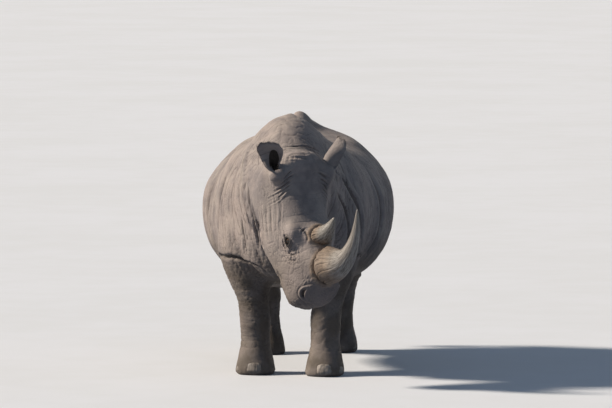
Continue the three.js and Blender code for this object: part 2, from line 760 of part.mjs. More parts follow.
let head = headSolid();
const frontSocket = solid(hornShape(HORNS.horn_front, GAP));
const rearSocket = solid(hornShape(HORNS.horn_rear, GAP));
head = trim(head, [frontSocket, rearSocket]);
add("horn_front", "horn", solid(hornShape(HORNS.horn_front, 0)));
add("horn_rear", "horn", solid(hornShape(HORNS.horn_rear, 0)).subtract(frontSocket));
let neck = neckSolid();
for (const [name, side] of Object.entries(SIDES)) {
  const earSocket = solid(earShape(side, GAP));
  head = trim(head, [earSocket, solid(eyeShape(side, GAP))]);
  neck = trim(neck, [earSocket]);
  add(`ear_${name}`, "ear", solid(earShape(side, 0)));
  add(`eye_${name}`, "eye", solid(eyeShape(side, 0)));
}
add("head", "head", head);
add("neck", "neck", neck);
add("trunk", "trunk", trunkSolid().subtract(solid(tailShape(GAP))));
add("tail", "tail", solid(tailShape(0)));

for (const [name, leg] of Object.entries(LEGS)) {
  for (const [toe, nail] of Object.entries(TOES)) {
    add(`${name.replace("leg", "nail")}_${toe}`, "nail", solid(nailShape(leg, nail, 0)));
  }
  const sockets = Object.values(TOES).map((nail) => solid(nailShape(leg, nail, GAP)));
  add(name, "leg", trim(legSolid(leg), sockets));
}

const rhinoceros = new THREE.Group();
rhinoceros.name = "rhinoceros";
rhinoceros.add(...nodes);
const bounds = new THREE.Box3().setFromObject(rhinoceros);
const middle = bounds.getCenter(new THREE.Vector3());
for (const mesh of nodes) mesh.geometry.translate(-middle.x, -middle.y, -bounds.min.z);

export default rhinoceros;
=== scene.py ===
"""A life-size white rhinoceros, head lowered and turned to its left, as a still museum model.

Metres, +Z up, head towards -Y, the animal's left towards +X. One hide is drawn over all the
flesh and worked with its folds, lids, nostrils and wrinkles. Horns, eyes and nails stay apart,
and the tail's tuft, the ear fringes and the lashes are meshes of tapering hairs.
"""

from math import cos, pi, radians, sin

import bmesh
import bpy
import numpy as np
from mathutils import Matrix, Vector
from mathutils.bvhtree import BVHTree
from mathutils.kdtree import KDTree


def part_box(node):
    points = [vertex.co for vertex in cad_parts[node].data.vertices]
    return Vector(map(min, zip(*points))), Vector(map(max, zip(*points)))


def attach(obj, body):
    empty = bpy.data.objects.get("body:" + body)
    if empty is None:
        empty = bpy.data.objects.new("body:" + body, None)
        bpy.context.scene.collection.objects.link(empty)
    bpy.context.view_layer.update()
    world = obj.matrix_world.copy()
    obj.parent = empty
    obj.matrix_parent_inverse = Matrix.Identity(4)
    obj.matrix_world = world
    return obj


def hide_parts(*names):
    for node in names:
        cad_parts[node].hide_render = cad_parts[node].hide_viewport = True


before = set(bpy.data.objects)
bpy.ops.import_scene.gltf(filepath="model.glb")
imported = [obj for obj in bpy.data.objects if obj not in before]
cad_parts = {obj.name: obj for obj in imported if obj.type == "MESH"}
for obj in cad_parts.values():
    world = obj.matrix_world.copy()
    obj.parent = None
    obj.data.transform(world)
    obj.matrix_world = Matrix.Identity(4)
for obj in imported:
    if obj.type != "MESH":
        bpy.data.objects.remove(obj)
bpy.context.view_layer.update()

# ---------------------------------------------------------------- measures

FLESH = ["trunk", "neck", "head", "tail", "leg_front_left", "leg_front_right",
         "leg_hind_left", "leg_hind_right"]
EARS = ["ear_left", "ear_right"]
EYES = ["eye_left", "eye_right"]
HORNS = ["horn_front", "horn_rear"]
NAILS = sorted(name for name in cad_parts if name.startswith("nail_"))

HUMP = 1.75  # the height everything else is measured against
HEAD_LENGTH = 0.945  # from the poll between the ears to the lips
HEAD_PITCH = radians(74)
EYE_ALONG = 55.1  # how far down the face the eyes sit, in hundredths of its length
EYE_OFF = -10.0   # and how far under the line of the brow
EYE_RADIUS = 0.018

VIEW_TURN = radians(3.5)  # the camera stands a little to the animal's left
VIEW_RISE = radians(4)
VIEW_REACH = 34.0
VIEW_END = 400
VIEW_LENS = 300
SENSOR = 36
AIM_ACROSS = 0.109  # from the top of the hump to the middle of the view
AIM_DOWN = 0.6

VOXEL = 0.0145
HEAD_FROM = -0.6  # the head's finer skin begins here along -Y
EYE_AREA = 0.075  # and the lids' still finer skin is this near an eye


def middle(node):
    low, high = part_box(node)
    return (np.array(low) + np.array(high)) / 2


def side_of(name):
    """1 for a piece on the animal's left, -1 for one on its right."""
    return 1 if name.endswith("left") else -1


def columns(*values):
    return np.stack(values, axis=1)


def far_from(spot, points):
    return np.linalg.norm(points - spot, axis=1)


def unit(vector):
    return vector / np.linalg.norm(vector)


def units(vectors):
    return vectors / np.linalg.norm(vectors, axis=1)[:, None]


def smooth_step(values, low, high):
    """0 below low, 1 above high, easing between. high may be the lower of the two."""
    share = np.clip((values - low) / (high - low), 0, 1)
    return share * share * (3 - 2 * share)


def bell(values, width):
    return np.exp(-(values / width) ** 2)


class Head:
    """The head's own axes: down the face, to the animal's left, and off the brow."""

    eyes = [middle(name) for name in EYES]
    left = unit((eyes[0] - eyes[1]) * [1, 1, 0])
    ahead = np.array([left[1], -left[0], 0])
    down = cos(HEAD_PITCH) * ahead - sin(HEAD_PITCH) * np.array([0, 0, 1])
    off = sin(HEAD_PITCH) * ahead + cos(HEAD_PITCH) * np.array([0, 0, 1])
    hundredth = HEAD_LENGTH / 100
    poll = (eyes[0] + eyes[1]) / 2 - hundredth * (EYE_ALONG * down + EYE_OFF * off)


def on_head(along, left, off):
    """A point of the head, in hundredths of its length."""
    return Head.poll + Head.hundredth * (along * Head.down + left * Head.left + off * Head.off)


def head_measure(points):
    """Points in the head's own hundredths: down the face, to the left, off the brow."""
    apart = (points - Head.poll) / Head.hundredth
    return apart @ Head.down, apart @ Head.left, apart @ Head.off


class Ahead:
    """The view from ahead: where it stands, and its own right and up."""

    back = np.array([sin(VIEW_TURN) * cos(VIEW_RISE), -cos(VIEW_TURN) * cos(VIEW_RISE),
                     sin(VIEW_RISE)])
    right = np.array([cos(VIEW_TURN), sin(VIEW_TURN), 0])
    up = np.cross(back, right)
    hump = np.array([0, middle("nail_front_right_middle")[1] + 0.022, HUMP])  # over a forefoot


# ---------------------------------------------------------------- stage

SKY_GLOW = (0.3, 0.56, 1.0, 1)
PALE_WALL = (0.8, 0.8, 0.79, 1)
FLOOR_SHEEN = (0.83, 0.83, 0.83, 1)
FLOOR_BOUNCE = (0.14, 0.18, 0.26, 1)  # the little light the floor throws back up


def new_object(name, data):
    made = bpy.data.objects.new(name, data)
    bpy.context.scene.collection.objects.link(made)
    return made


def turn_to(thing, turn):
    thing.rotation_mode = "QUATERNION"
    thing.rotation_quaternion = turn


def make_camera():
    data = bpy.data.cameras.new("view_ahead")
    data.lens = VIEW_LENS
    data.sensor_width = SENSOR
    data.clip_end = VIEW_END
    camera = new_object("view_ahead", data)
    aim = Ahead.hump + AIM_ACROSS * Ahead.right - AIM_DOWN * Ahead.up
    camera.location = aim + VIEW_REACH * Ahead.back
    turn_to(camera, Vector(-Ahead.back).to_track_quat("-Z", "Y"))
    bpy.context.scene.camera = camera


def make_sun(name, turn, rise, strength, colour, spread):
    """A broad soft lamp. turn is from straight ahead towards the animal's left."""
    data = bpy.data.lights.new(name, "SUN")
    data.energy = strength
    data.color = colour
    data.angle = radians(spread)
    turn, rise = radians(turn), radians(rise)
    towards = Vector((sin(turn) * cos(rise), -cos(turn) * cos(rise), sin(rise)))
    turn_to(new_object(name, data), towards.to_track_quat("Z", "Y"))


def make_floor(reach=180):
    mesh = bpy.data.meshes.new("floor")
    mesh.from_pydata([(-reach, -reach, 0), (reach, -reach, 0), (reach, reach, 0),
                      (-reach, reach, 0)], [], [(0, 1, 2, 3)])
    mesh.materials.append(floor_material())
    floor = new_object("floor", mesh)


def light_room():
    """A faint blue glow all round, which the eye sees as a pale wall, a warm key and a fill."""
    world = bpy.data.worlds.new("studio")
    world.use_nodes = True
    nodes, wiring = world.node_tree.nodes, Wiring(world.node_tree)
    glow = nodes["Background"]
    glow.inputs["Color"].default_value = SKY_GLOW
    glow.inputs["Strength"].default_value = 0.15
    wall = wiring.node("ShaderNodeBackground", {"Color": PALE_WALL})
    wired = {0: wiring.seen(), 1: glow.outputs[0], 2: wall.outputs[0]}
    both = wiring.node("ShaderNodeMixShader", wired)
    wiring.tree.links.new(both.outputs[0], nodes["World Output"].inputs["Surface"])
    bpy.context.scene.world = world
    make_sun("key", -86, 34, 4.65, (1.0, 0.92, 0.83), 7)
    make_sun("fill", 35, 30, 0.08, (0.45, 0.7, 1.0), 60)
    bpy.context.scene.view_settings.view_transform = "Standard"


# ---------------------------------------------------------------- mesh tools

def listed(items, name, wide=3, kind=float):
    """One property of many items, as an array with a row for each."""
    flat = np.empty(len(items) * wide, kind)
    items.foreach_get(name, flat)
    return flat.reshape(-1, wide)


def points_of(mesh):
    return listed(mesh.vertices, "co")


def set_points(mesh, points):
    mesh.vertices.foreach_set("co", points.ravel())
    mesh.update()


def normals_of(mesh):
    return listed(mesh.vertex_normals, "vector")


def edge_ends(mesh):
    return listed(mesh.edges, "vertices", 2, np.int64)


def settled(thing, name):
    """The mesh a thing has once its modifiers are applied; the thing itself is dropped."""
    graph = bpy.context.evaluated_depsgraph_get()
    mesh = bpy.data.meshes.new_from_object(thing.evaluated_get(graph))
    mesh.name = name
    bpy.data.objects.remove(thing)
    return mesh


def refined(mesh, levels, name):
    thing = new_object(name, mesh)
    step = thing.modifiers.new("finer", "SUBSURF")
    step.levels = levels
    step.render_levels = levels
    return settled(thing, name)


def tree_of(mesh):
    """A search tree over a mesh's faces."""
    corners = listed(mesh.loops, "vertex_index", 1, np.int64)[:, 0]
    starts = listed(mesh.polygons, "loop_start", 1, np.int64)[:, 0]
    faces = [part.tolist() for part in np.split(corners, starts[1:])]
    return BVHTree.FromPolygons(points_of(mesh).tolist(), faces)


def face_out(work):
    """Every face turned to the outside of its closed body."""
    bmesh.ops.recalc_face_normals(work, faces=work.faces)
    if work.calc_volume(signed=True) < 0:
        bmesh.ops.reverse_faces(work, faces=work.faces)
    return work


def node_bmesh(name):
    """A node's closed body, with each corner held once."""
    work = bmesh.new()
    work.from_mesh(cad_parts[name].data)
    bmesh.ops.remove_doubles(work, verts=work.verts, dist=1e-5)
    return face_out(work)


def mesh_from(work, name):
    mesh = bpy.data.meshes.new(name)
    work.to_mesh(mesh)
    work.free()
    return mesh


def body_from(name, corners, faces):
    """A closed body made from its corners and faces."""
    mesh = bpy.data.meshes.new(name)
    mesh.from_pydata(corners.tolist(), [], faces)
    work = bmesh.new()
    work.from_mesh(mesh)
    face_out(work).to_mesh(mesh)
    work.free()
    return mesh


def store(mesh, name, values):
    """Values kept with a mesh's points, a number or a vector each, for the materials to read."""
    values = np.ascontiguousarray(values, np.float32)
    kind = "FLOAT" if values.ndim == 1 else "FLOAT_VECTOR"
    layer = mesh.attributes.new(name, kind, "POINT")
    layer.data.foreach_set("value" if values.ndim == 1 else "vector", values.ravel())


def read(mesh, name):
    return listed(mesh.attributes[name].data, "value", 1, np.float32)[:, 0]


def smooth_faces(mesh):
    mesh.polygons.foreach_set("use_smooth", np.ones(len(mesh.polygons), bool))
    mesh.update()


class Web:
    """Each point's neighbours, to ease values over a surface."""

    def __init__(self, mesh):
        ends = edge_ends(mesh)
        self.one, self.other = ends.T
        self.count = len(mesh.vertices)
        met = np.bincount(ends.ravel(), minlength=self.count)
        self.share = 1 / np.maximum(met, 1)

    def mean(self, values):
        """Each point's mean over its neighbours, column by column."""
        parts = []
        for column in values.T:
            total = np.bincount(self.one, column[self.other], self.count)
            total += np.bincount(self.other, column[self.one], self.count)
            parts.append(total * self.share)
        return np.stack(parts, axis=1)

    def ease(self, values, times, pull):
        for _ in range(times):
            values = values + pull * (self.mean(values) - values)
        return values

    def fair(self, values, times, pull):
        """Eased without drawing the whole form in: what the easing took is put back softened."""
        eased = self.ease(values, times, pull)
        return eased + self.ease(values - eased, times, pull)


# ---------------------------------------------------------------- patterns in space

STRIDES = (73856093, 19349663, 83492791)  # large primes, one for each axis
FAR = 9.0  # farther than any distance looked for


def scatter(keys, salt):
    """A steady number from 0 to 1 for each whole-numbered key."""
    mixed = (keys + salt * 40503).astype(np.uint32)
    mixed = (mixed ^ (mixed >> 15)) * np.uint32(0x2C1B3C6D)
    mixed = (mixed ^ (mixed >> 12)) * np.uint32(0x297A2D39)
    return ((mixed ^ (mixed >> 15)) & np.uint32(0xFFFFFF)) / 0xFFFFFF


def cells(places):
    """Each place's cell of a grid, as a key for each axis, and where in the cell it lies."""
    base = np.floor(places).astype(np.int64)
    return [base[:, axis] * stride for axis, stride in enumerate(STRIDES)], places - base


def key_of(keys, i, j, k):
    """The whole key of the cell that lies this many steps away along each axis."""
    return (keys[0] + i * STRIDES[0]) ^ (keys[1] + j * STRIDES[1]) ^ (keys[2] + k * STRIDES[2])


def grain(places, salt):
    """Soft random heights from -1 to 1, with features about one unit across."""
    keys, part = cells(places)
    part = part * part * (3 - 2 * part)
    shares = [(1 - part[:, axis], part[:, axis]) for axis in range(3)]
    total = np.zeros(len(places))
    for i, j, k in np.ndindex(2, 2, 2):
        share = shares[0][i] * shares[1][j] * shares[2][k]
        total += share * scatter(key_of(keys, i, j, k), salt)
    return 2 * total - 1


def drift(places, salt):
    """Soft random heights for each of three axes."""
    return columns(*(grain(places, salt + axis) for axis in range(3)))


def cracks(places, salt):
    """How near each place is to the edge of its random cell: 0 on the crack, up to about 1."""
    keys, part = cells(places)
    nearest = np.full(len(places), FAR)
    second = np.full(len(places), FAR)
    for corner in np.ndindex(3, 3, 3):
        step = [number - 1 for number in corner]
        key = key_of(keys, *step)
        apart = np.zeros(len(places))
        for axis, number in enumerate(step):
            apart += (part[:, axis] - number - scatter(key, salt + axis)) ** 2
        apart = np.sqrt(apart)
        second = np.minimum(second, np.maximum(nearest, apart))
        nearest = np.minimum(nearest, apart)
    return second - nearest


def ridged(places, salt):
    """Wandering valleys: 1 along their beds, falling to 0 on the open ground."""
    return 1 - np.clip(np.abs(grain(places, salt)) * 2.6, 0, 1)


# ---------------------------------------------------------------- the hide's body

def plug(name, point, away):
    """A copy of a node, cut off where it leaves the flesh, to fill the socket under it."""
    work = node_bmesh(name)
    everything = [*work.verts, *work.edges, *work.faces]
    cut = bmesh.ops.bisect_plane(work, geom=everything, plane_co=point, plane_no=away,
                                 clear_outer=True)
    edges = [part for part in cut["geom_cut"] if isinstance(part, bmesh.types.BMEdge)]
    bmesh.ops.contextual_create(work, geom=edges)
    return mesh_from(work, name + "_plug")


def sunk_nail(name):
    """A nail's copy pressed back into the foot, to fill its socket."""
    work = node_bmesh(name)
    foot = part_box("leg_" + "_".join(name.split("_")[1:3]))
    centre = (foot[0] + foot[1]) / 2
    bed = Vector(middle(name))
    back = Vector((centre.x - bed.x, centre.y - bed.y, 0)).normalized() * 0.008
    bmesh.ops.translate(work, verts=work.verts, vec=back)
    return mesh_from(work, name + "_plug")


HORN_SEATS = (74, 54.6)  # how far down the face the front and rear horns stand, in hundredths


def flesh_mesh():
    """All the flesh as one closed body: the cuts bridged and every socket filled."""
    swell, sunk = 0.0012, 0.012  # metres: over the cuts, and the balls under their lids
    work = bmesh.new()
    for name in FLESH:
        part = node_bmesh(name)
        part.normal_update()
        for corner in part.verts:
            corner.co += corner.normal * swell
        work.from_mesh(mesh_from(part, name + "_swollen"))
    for name, along in zip(HORNS, HORN_SEATS):
        work.from_mesh(plug(name, on_head(along, 0, 0.3), Head.off))
    for name in NAILS:
        work.from_mesh(sunk_nail(name))
    for eye, side in zip(Head.eyes, (1, -1)):
        ball = bmesh.ops.create_icosphere(work, subdivisions=2, radius=EYE_RADIUS)
        bed = Vector(eye - side * sunk * Head.left)
        bmesh.ops.translate(work, verts=ball["verts"], vec=bed)
    return mesh_from(work, "flesh")


def skin_over_flesh():
    """The flesh drawn over with one even net, its flats eased into full forms."""
    thing = new_object("flesh", flesh_mesh())
    step = thing.modifiers.new("net", "REMESH")
    step.mode = "VOXEL"
    step.voxel_size = VOXEL
    mesh = settled(thing, "net")
    points = points_of(mesh)
    web = Web(mesh)
    along, left, off = head_measure(points)
    head = smooth_step(along, -8, 12) * smooth_step(np.abs(left), 34, 24)
    head = head * smooth_step(off, -60, -46)
    legs = smooth_step(points[:, 2], 0.72, 0.5) * (1 - head)
    tail = smooth_step(points[:, 1], 1.44, 1.5)
    pull = 0.5 - 0.41 * head - 0.3 * legs * (1 - head)
    pull = np.minimum(pull, 0.5 - 0.4 * tail)[:, None]
    points = web.fair(points, 48, pull)
    points[:, 2] = np.maximum(points[:, 2], 0)
    set_points(mesh, points)
    return refined(mesh, 1, "hide")


def split_where(mesh, near):
    """The faces quartered wherever near, a test of many points at once, holds."""
    work = bmesh.new()
    work.from_mesh(mesh)
    work.edges.ensure_lookup_table()
    points, ends = points_of(mesh), edge_ends(mesh)
    chosen = np.flatnonzero(near((points[ends[:, 0]] + points[ends[:, 1]]) / 2))
    bmesh.ops.subdivide_edges(work, edges=[work.edges[i] for i in chosen], cuts=1,
                              use_grid_fill=True)
    return mesh_from(work, mesh.name)


def about_head(points):
    along, left, off = head_measure(points)
    return (along > -5) & (off > -54) & (np.abs(left) < 30) & (points[:, 1] < HEAD_FROM)


def about_eyes(points):
    return np.minimum(*(far_from(eye, points) for eye in Head.eyes)) < EYE_AREA


class Ear:
    """One ear's own axes: up its length, out of its cup, and across towards the other ear."""

    def __init__(self, name):
        side = side_of(name)
        points = points_of(mesh_from(node_bmesh(name), name + "_rough"))
        self.heart = points.mean(axis=0)
        rise, _, face = np.linalg.svd(points - self.heart, full_matrices=False)[2]
        self.rise = rise * np.sign(rise[2])
        self.face = face * np.sign(face @ (Head.ahead + side * Head.left))
        self.inward = side * np.cross(self.face, self.rise)

    def measure(self, points):
        """Metres from the ear's heart: up it, inward across it, and out of its cup."""
        apart = points - self.heart
        return apart @ self.rise, apart @ self.inward, apart @ self.face


EAR_UP = (-0.14, 0.118)  # from the ear's heart down to its root, and up to its top edge
EAR_REACH = 0.2  # and farther from its heart than any part of it
EAR_FIRM = 0.88  # the share of a fold's push that an ear withstands

# Each ear is a rolled sheet, given at these shares of its length: half the sheet's width, the
# slants of its outer and inner walls in degrees, and where the bottom of its gutter lies, inward
# and out of the heart. Then come the share across it of that bottom, how far it is turned back,
# and how far up and inward of the heart its hollow opens, where painted shade darkens it.
EAR_AT = (0.0, 0.22, 0.42, 0.6, 0.8, 1.0)
EAR_SHEETS = {
    "ear_right": {
        "half": (0.088, 0.088, 0.092, 0.098, 0.098, 0.076),
        "outer": (-150, -95, -42, -20, -14, -8),
        "inner": (150, 125, 98, 82, 58, 20),
        "inward": (0.0, 0.012, 0.034, 0.04, 0.036, 0.02),
        "out": (-0.034, -0.04, -0.046, -0.044, -0.03, -0.012),
        "bend": 0.3, "back": 0.0, "hollow": (-0.04, 0.006)},
    "ear_left": {
        "half": (0.15, 0.135, 0.108, 0.104, 0.098, 0.07),
        "outer": (-150, -135, -98, -80, -72, -66),
        "inner": (150, 135, 98, 80, 72, 66),
        "inward": (0.0, 0.0, 0.0, 0.0, 0.0, 0.0),
        "out": (-0.046, -0.044, -0.038, -0.028, -0.014, 0.004),
        "bend": 0.0, "back": radians(40), "hollow": (-0.03, 0.0)},
}


def ear_mesh(name):
    """An ear as a rolled sheet: a tube at its root, opening into a gutter between two walls."""
    ear, sheet = Ear(name), EAR_SHEETS[name]
    ups, acrosses = 64, 72
    v = np.linspace(0, 1, ups)[:, None]  # up the sheet
    s = np.linspace(-1, 1, acrosses)[None, :]  # and across it
    eased = 0.5 * (v + smooth_step(v, 0, 1))
    half, outer, inner, inward, out = (
        np.interp(eased, EAR_AT, sheet[label])
        for label in ("half", "outer", "inner", "inward", "out"))
    bend = sheet["bend"]
    turned = smooth_step(s, bend - 0.75, bend + 0.75) * (1 - 0.5 * v) + 0.5 * v * (s + 1) / 2
    slant = np.radians(outer + (inner - outer) * turned)
    step = 2 * half / (acrosses - 1)
    x = np.cumsum(np.cos(slant) * step, axis=1)
    y = np.cumsum(np.sin(slant) * step, axis=1)
    bottom = int((bend + 1) / 2 * (acrosses - 1))
    x = x - x[:, bottom:bottom + 1] + inward
    y = y - y[:, bottom:bottom + 1] + out
    low, high = EAR_UP
    ragged = grain(columns(x.ravel() * 60, y.ravel() * 60, 0 * x.ravel()), 61)
    top = smooth_step(v, 0.72, 1)
    up = low + (high - low) * v + top * (0.006 * ragged.reshape(x.shape) - 0.16 * x)
    up = up - 0.03 * top * np.abs(s) ** 6
    angle = sheet["back"] * smooth_step(v, 0.1, 0.4)
    x, y = np.cos(angle) * x - np.sin(angle) * y, np.sin(angle) * x + np.cos(angle) * y
    sheet_points = (ear.heart + up[..., None] * ear.rise + x[..., None] * ear.inward
                    + y[..., None] * ear.face)
    across = np.gradient(sheet_points, axis=1)
    along = np.gradient(sheet_points, axis=0)
    normal = np.cross(across, along)
    normal = normal / np.linalg.norm(normal, axis=2)[..., None]
    normal *= np.sign(np.sum(normal[ups // 2, bottom] * ear.face))
    rim = smooth_step(np.abs(s), 1, 0.8) * smooth_step(v, 1, 0.88)
    thick = (0.0022 + (0.0035 - 0.001 * v) * rim)[..., None]
    corners = np.concatenate([(sheet_points + thick * normal).reshape(-1, 3),
                              (sheet_points - thick * normal).reshape(-1, 3)])
    faces = []
    count = ups * acrosses
    grid = np.arange(count).reshape(ups, acrosses)
    rings = np.stack([grid[:-1, :-1], grid[:-1, 1:], grid[1:, 1:], grid[1:, :-1]], axis=2)
    for ring in rings.reshape(-1, 4).tolist():
        faces += [ring, [count + corner for corner in reversed(ring)]]
    border = np.concatenate([grid[0, :-1], grid[:-1, -1], grid[-1, :0:-1], grid[:0:-1, 0]])
    border = border.tolist()
    for here, after in zip(border, border[1:] + border[:1]):
        faces.append([after, here, here + count, after + count])
    mesh = body_from(name + "_fine", corners, faces)
    edge = (v > 0.5) & ((s < -0.94) | (v > 0.95))
    store(mesh, "rim", np.concatenate([edge.ravel(), edge.ravel()]).astype(float))
    return mesh


def hollow_of(name, points, normals):
    """How far inside an ear's hollow each place lies, for painting it dark as shade."""
    ear, sheet = Ear(name), EAR_SHEETS[name]
    up, inward, face = ear.measure(points)
    turned = sheet["back"]
    across = cos(turned) * inward + sin(turned) * face
    out = cos(turned) * face - sin(turned) * inward
    up, across = up - sheet["hollow"][0], across - sheet["hollow"][1]
    inside = smooth_step(np.hypot(up / 0.07, (across - 0.14 * up) / 0.032), 1.2, 0.9)
    open_way = cos(turned) * ear.face - sin(turned) * ear.inward
    return inside * smooth_step(normals @ open_way, -0.1, 0.25) * (out < 0.02)


def join_ears(mesh):
    """The ears grown onto the hide, with the skin eased where they meet, and which places lie
    in their hollows (for painted shade), along their rims and anywhere on them."""
    hide = new_object("hide", mesh)
    body = tree_of(mesh)
    leaves = []
    for name in EARS:
        leaf = new_object(name + "_leaf", ear_mesh(name))
        leaves.append(leaf)
        step = hide.modifiers.new(name, "BOOLEAN")
        step.operation = "UNION"
        step.solver = "MANIFOLD"
        step.object = leaf
    joined = settled(hide, "hide")
    points = points_of(joined)
    seam = np.zeros(len(points))
    marks = {label: np.zeros(len(points)) for label in ("hollow", "rim", "ear")}
    for leaf in leaves:
        corners = points_of(leaf.data)
        rim = read(leaf.data, "rim")
        near_corner = KDTree(len(corners))
        for index, corner in enumerate(corners):
            near_corner.insert(corner, index)
        near_corner.balance()
        heart = corners.mean(axis=0)
        for index in np.flatnonzero(far_from(heart, points) < EAR_REACH):
            _, corner, far = near_corner.find(points[index])
            off_body = body.find_nearest(points[index])[3]
            seam[index] = smooth_step(max(far - 0.002, off_body), 0.032, 0.005)
            marks["ear"][index] = smooth_step(far, 0.02, 0.005)
            if far < 0.0004:
                marks["rim"][index] = rim[corner]
        bpy.data.objects.remove(leaf)
    points = Web(joined).ease(points, 30, 0.5 * seam[:, None])
    set_points(joined, points)
    for name in EARS:
        marks["hollow"] = np.maximum(marks["hollow"],
                                     hollow_of(name, points, normals_of(joined)))
    return joined, marks


# ---------------------------------------------------------------- folds

def curve_through(points, pieces=6):
    """A smooth row of points through the given ones."""
    ends = [2 * points[0] - points[1], *points, 2 * points[-1] - points[-2]]
    found = []
    for before, here, after, beyond in zip(ends, ends[1:], ends[2:], ends[3:]):
        for t in np.arange(pieces) / pieces:
            found.append(0.5 * (2 * here + (after - before) * t
                                + (2 * before - 5 * here + 4 * after - beyond) * t ** 2
                                + (3 * here - before - 3 * after + beyond) * t ** 3))
    return np.array([*found, points[-1]])


PATH_WANDER = 0.009  # how far a path may stray from the places it is given


class Form:
    """The eased body before it is made finer, to lay paths on."""

    def __init__(self, mesh):
        self.tree = tree_of(mesh)

    def meet(self, start, aim):
        """Where a ray first meets the body, if it does."""
        hit = self.tree.ray_cast(Vector(start), Vector(aim))[0]
        return None if hit is None else np.array(hit)

    def lay(self, starts, aim):
        """The places where rays from these starts first meet the body, wandering a little."""
        starts = curve_through(np.array(starts, float))
        for axis in range(3):
            starts[:, axis] += PATH_WANDER * grain(starts * 7, 101 + axis)
        found = [self.meet(start, aim) for start in starts]
        return np.array([hit for hit in found if hit is not None])

    def from_ahead(self, *places):
        """A path given as metres across from the hump and metres high, as seen from ahead."""
        starts = [Ahead.hump + 4 * Ahead.back + across * Ahead.right + (high - HUMP) * Ahead.up
                  for across, high in places]
        return self.lay(starts, -Ahead.back)

    def from_side(self, side, *places):
        """A path given as metres along Y and metres high, as seen from one side."""
        return self.lay([(2 * side, along, high) for along, high in places], (-side, 0, 0))

    def from_above(self, *places):
        return self.lay([(across, along, 3) for across, along in places], (0, 0, -1))

    def from_behind(self, *places):
        return self.lay([(across, 4, high) for across, high in places], (0, -1, 0))

    def around(self, side, centre, reach, *places):
        """A path round an upright axis: degrees from ahead towards that side, metres high."""
        found = []
        for turn, high in curve_through(np.array(places, float)):
            out = np.array([side * sin(radians(turn)), -cos(radians(turn)), 0])
            clear = reach * (1 + 0.5 * max(0, sin(radians(turn))))
            start = np.array([*centre, high]) + clear * out
            hit, normal, _, _ = self.tree.ray_cast(Vector(start), Vector(-out), clear)
            if hit is not None and normal @ Vector(out) > 0:
                found.append(np.array(hit))
        return np.array(found)

    def on_brow(self, side, *places):
        """A path on the front of the head: hundredths down the face and out to one side."""
        return self.lay([on_head(along, side * out, 60) for along, out in places], -Head.off)

    def on_cheek(self, side, *places):
        """A path on one side of the head: hundredths down the face and off the brow."""
        return self.lay([on_head(along, 70 * side, off) for along, off in places],
                        -side * Head.left)

    def on_lips(self, *places):
        """A path on the end of the muzzle: hundredths to the left and off the brow."""
        return self.lay([on_head(140, left, off) for left, off in places], -Head.down)


LEAP = 0.06  # a path's step longer than this crosses from one part of the body to another


class Hide:
    """The hide while it is worked: its points, its normals, how much painted shade each place
    takes in its creases and recesses, and how firmly each place, such as a thin ear, withstands
    being pushed in or out."""

    def __init__(self, mesh, firm):
        self.mesh = mesh
        self.firm = firm
        self.points = points_of(mesh)
        self.crease_shade = np.zeros(len(self.points))
        self.web = Web(mesh)
        self.renew()

    def renew(self):
        set_points(self.mesh, self.points)
        self.normals = normals_of(self.mesh)
        self.along, self.left, self.off = head_measure(self.points)

    def push(self, amount, where=slice(None)):
        amount = amount * (1 - self.firm[where])
        self.points[where] += self.normals[where] * amount[:, None]

    def darken(self, values, where=slice(None)):
        """Places given painted shade of at least these values, as in a crease."""
        self.crease_shade[where] = np.maximum(self.crease_shade[where], values)

    def ease(self, times, pull):
        self.points = self.web.ease(self.points, times, pull[:, None])

    def crease(self, path, width, depth, roll=0.0, over=0.0, reach=0.06, fade=0.2, painted_shade=1):
        """A groove along a path, with a roll raised on both sides of it and painted shade in its
        bed.
        On the left of the way it runs, seen from outside, the skin may also swell over it by
        `over`."""
        if len(path) < 2:
            return
        margin = 3 * max(width, reach if over else 0)
        inside = np.all((self.points > path.min(0) - margin)
                        & (self.points < path.max(0) + margin), axis=1)
        where = np.flatnonzero(inside)
        points, normals = self.points[where], self.normals[where]
        near_true = np.full(len(where), FAR)
        nearest = np.full(len(where), FAR)
        side = np.zeros(len(where))
        share = np.zeros(len(where))
        steps = len(path) - 1
        for step, (start, end) in enumerate(zip(path, path[1:])):
            run = end - start
            if np.linalg.norm(run) > LEAP:
                continue
            t = np.clip((points - start) @ run / max(run @ run, 1e-12), 0, 1)
            apart = points - start - t[:, None] * run
            far = np.linalg.norm(apart, axis=1)
            high = np.sum(apart * normals, axis=1)
            closer = far < near_true
            near_true = np.where(closer, far, near_true)
            nearest = np.where(closer, np.sqrt(np.maximum(far ** 2 - high ** 2, 0)), nearest)
            share = np.where(closer, (step + t) / steps, share)
            turned = np.cross(normals, run)
            side = np.where(closer, np.sum(apart * turned, axis=1), side)
        facing = smooth_step(near_true, margin, margin * 0.6)
        strength = facing * smooth_step(share, 0, fade) * smooth_step(share, 1, 1 - fade)
        strength = strength * (0.85 + 0.25 * grain(points * 9, 5))
        groove = bell(nearest, width)
        amount = roll * bell(nearest - 2 * width, width) - depth * groove
        if over:
            left = np.sign(side) > 0
            amount += over * left * smooth_step(nearest, 0, width) * bell(nearest, reach)
        self.push(amount * strength, where)
        # painted shade along the groove's bed
        self.darken(painted_shade * groove * strength, where)


# The line of the sleeve: behind the elbow as metres along Y and high, then round the foreleg as
# degrees from ahead towards its outer side and metres high, then over the breast as seen from
# ahead, metres across and high.
SLEEVE_BEHIND = ((-0.02, 0.64), (-0.04, 0.7), (-0.09, 0.75), (-0.17, 0.785), (-0.26, 0.8))
SLEEVE_ROUND = ((75, 0.8), (50, 0.795), (28, 0.8), (8, 0.792))
SLEEVE_BREAST = ((-0.29, 0.775), (-0.25, 0.757), (-0.2, 0.732), (-0.15, 0.693), (-0.11, 0.645))


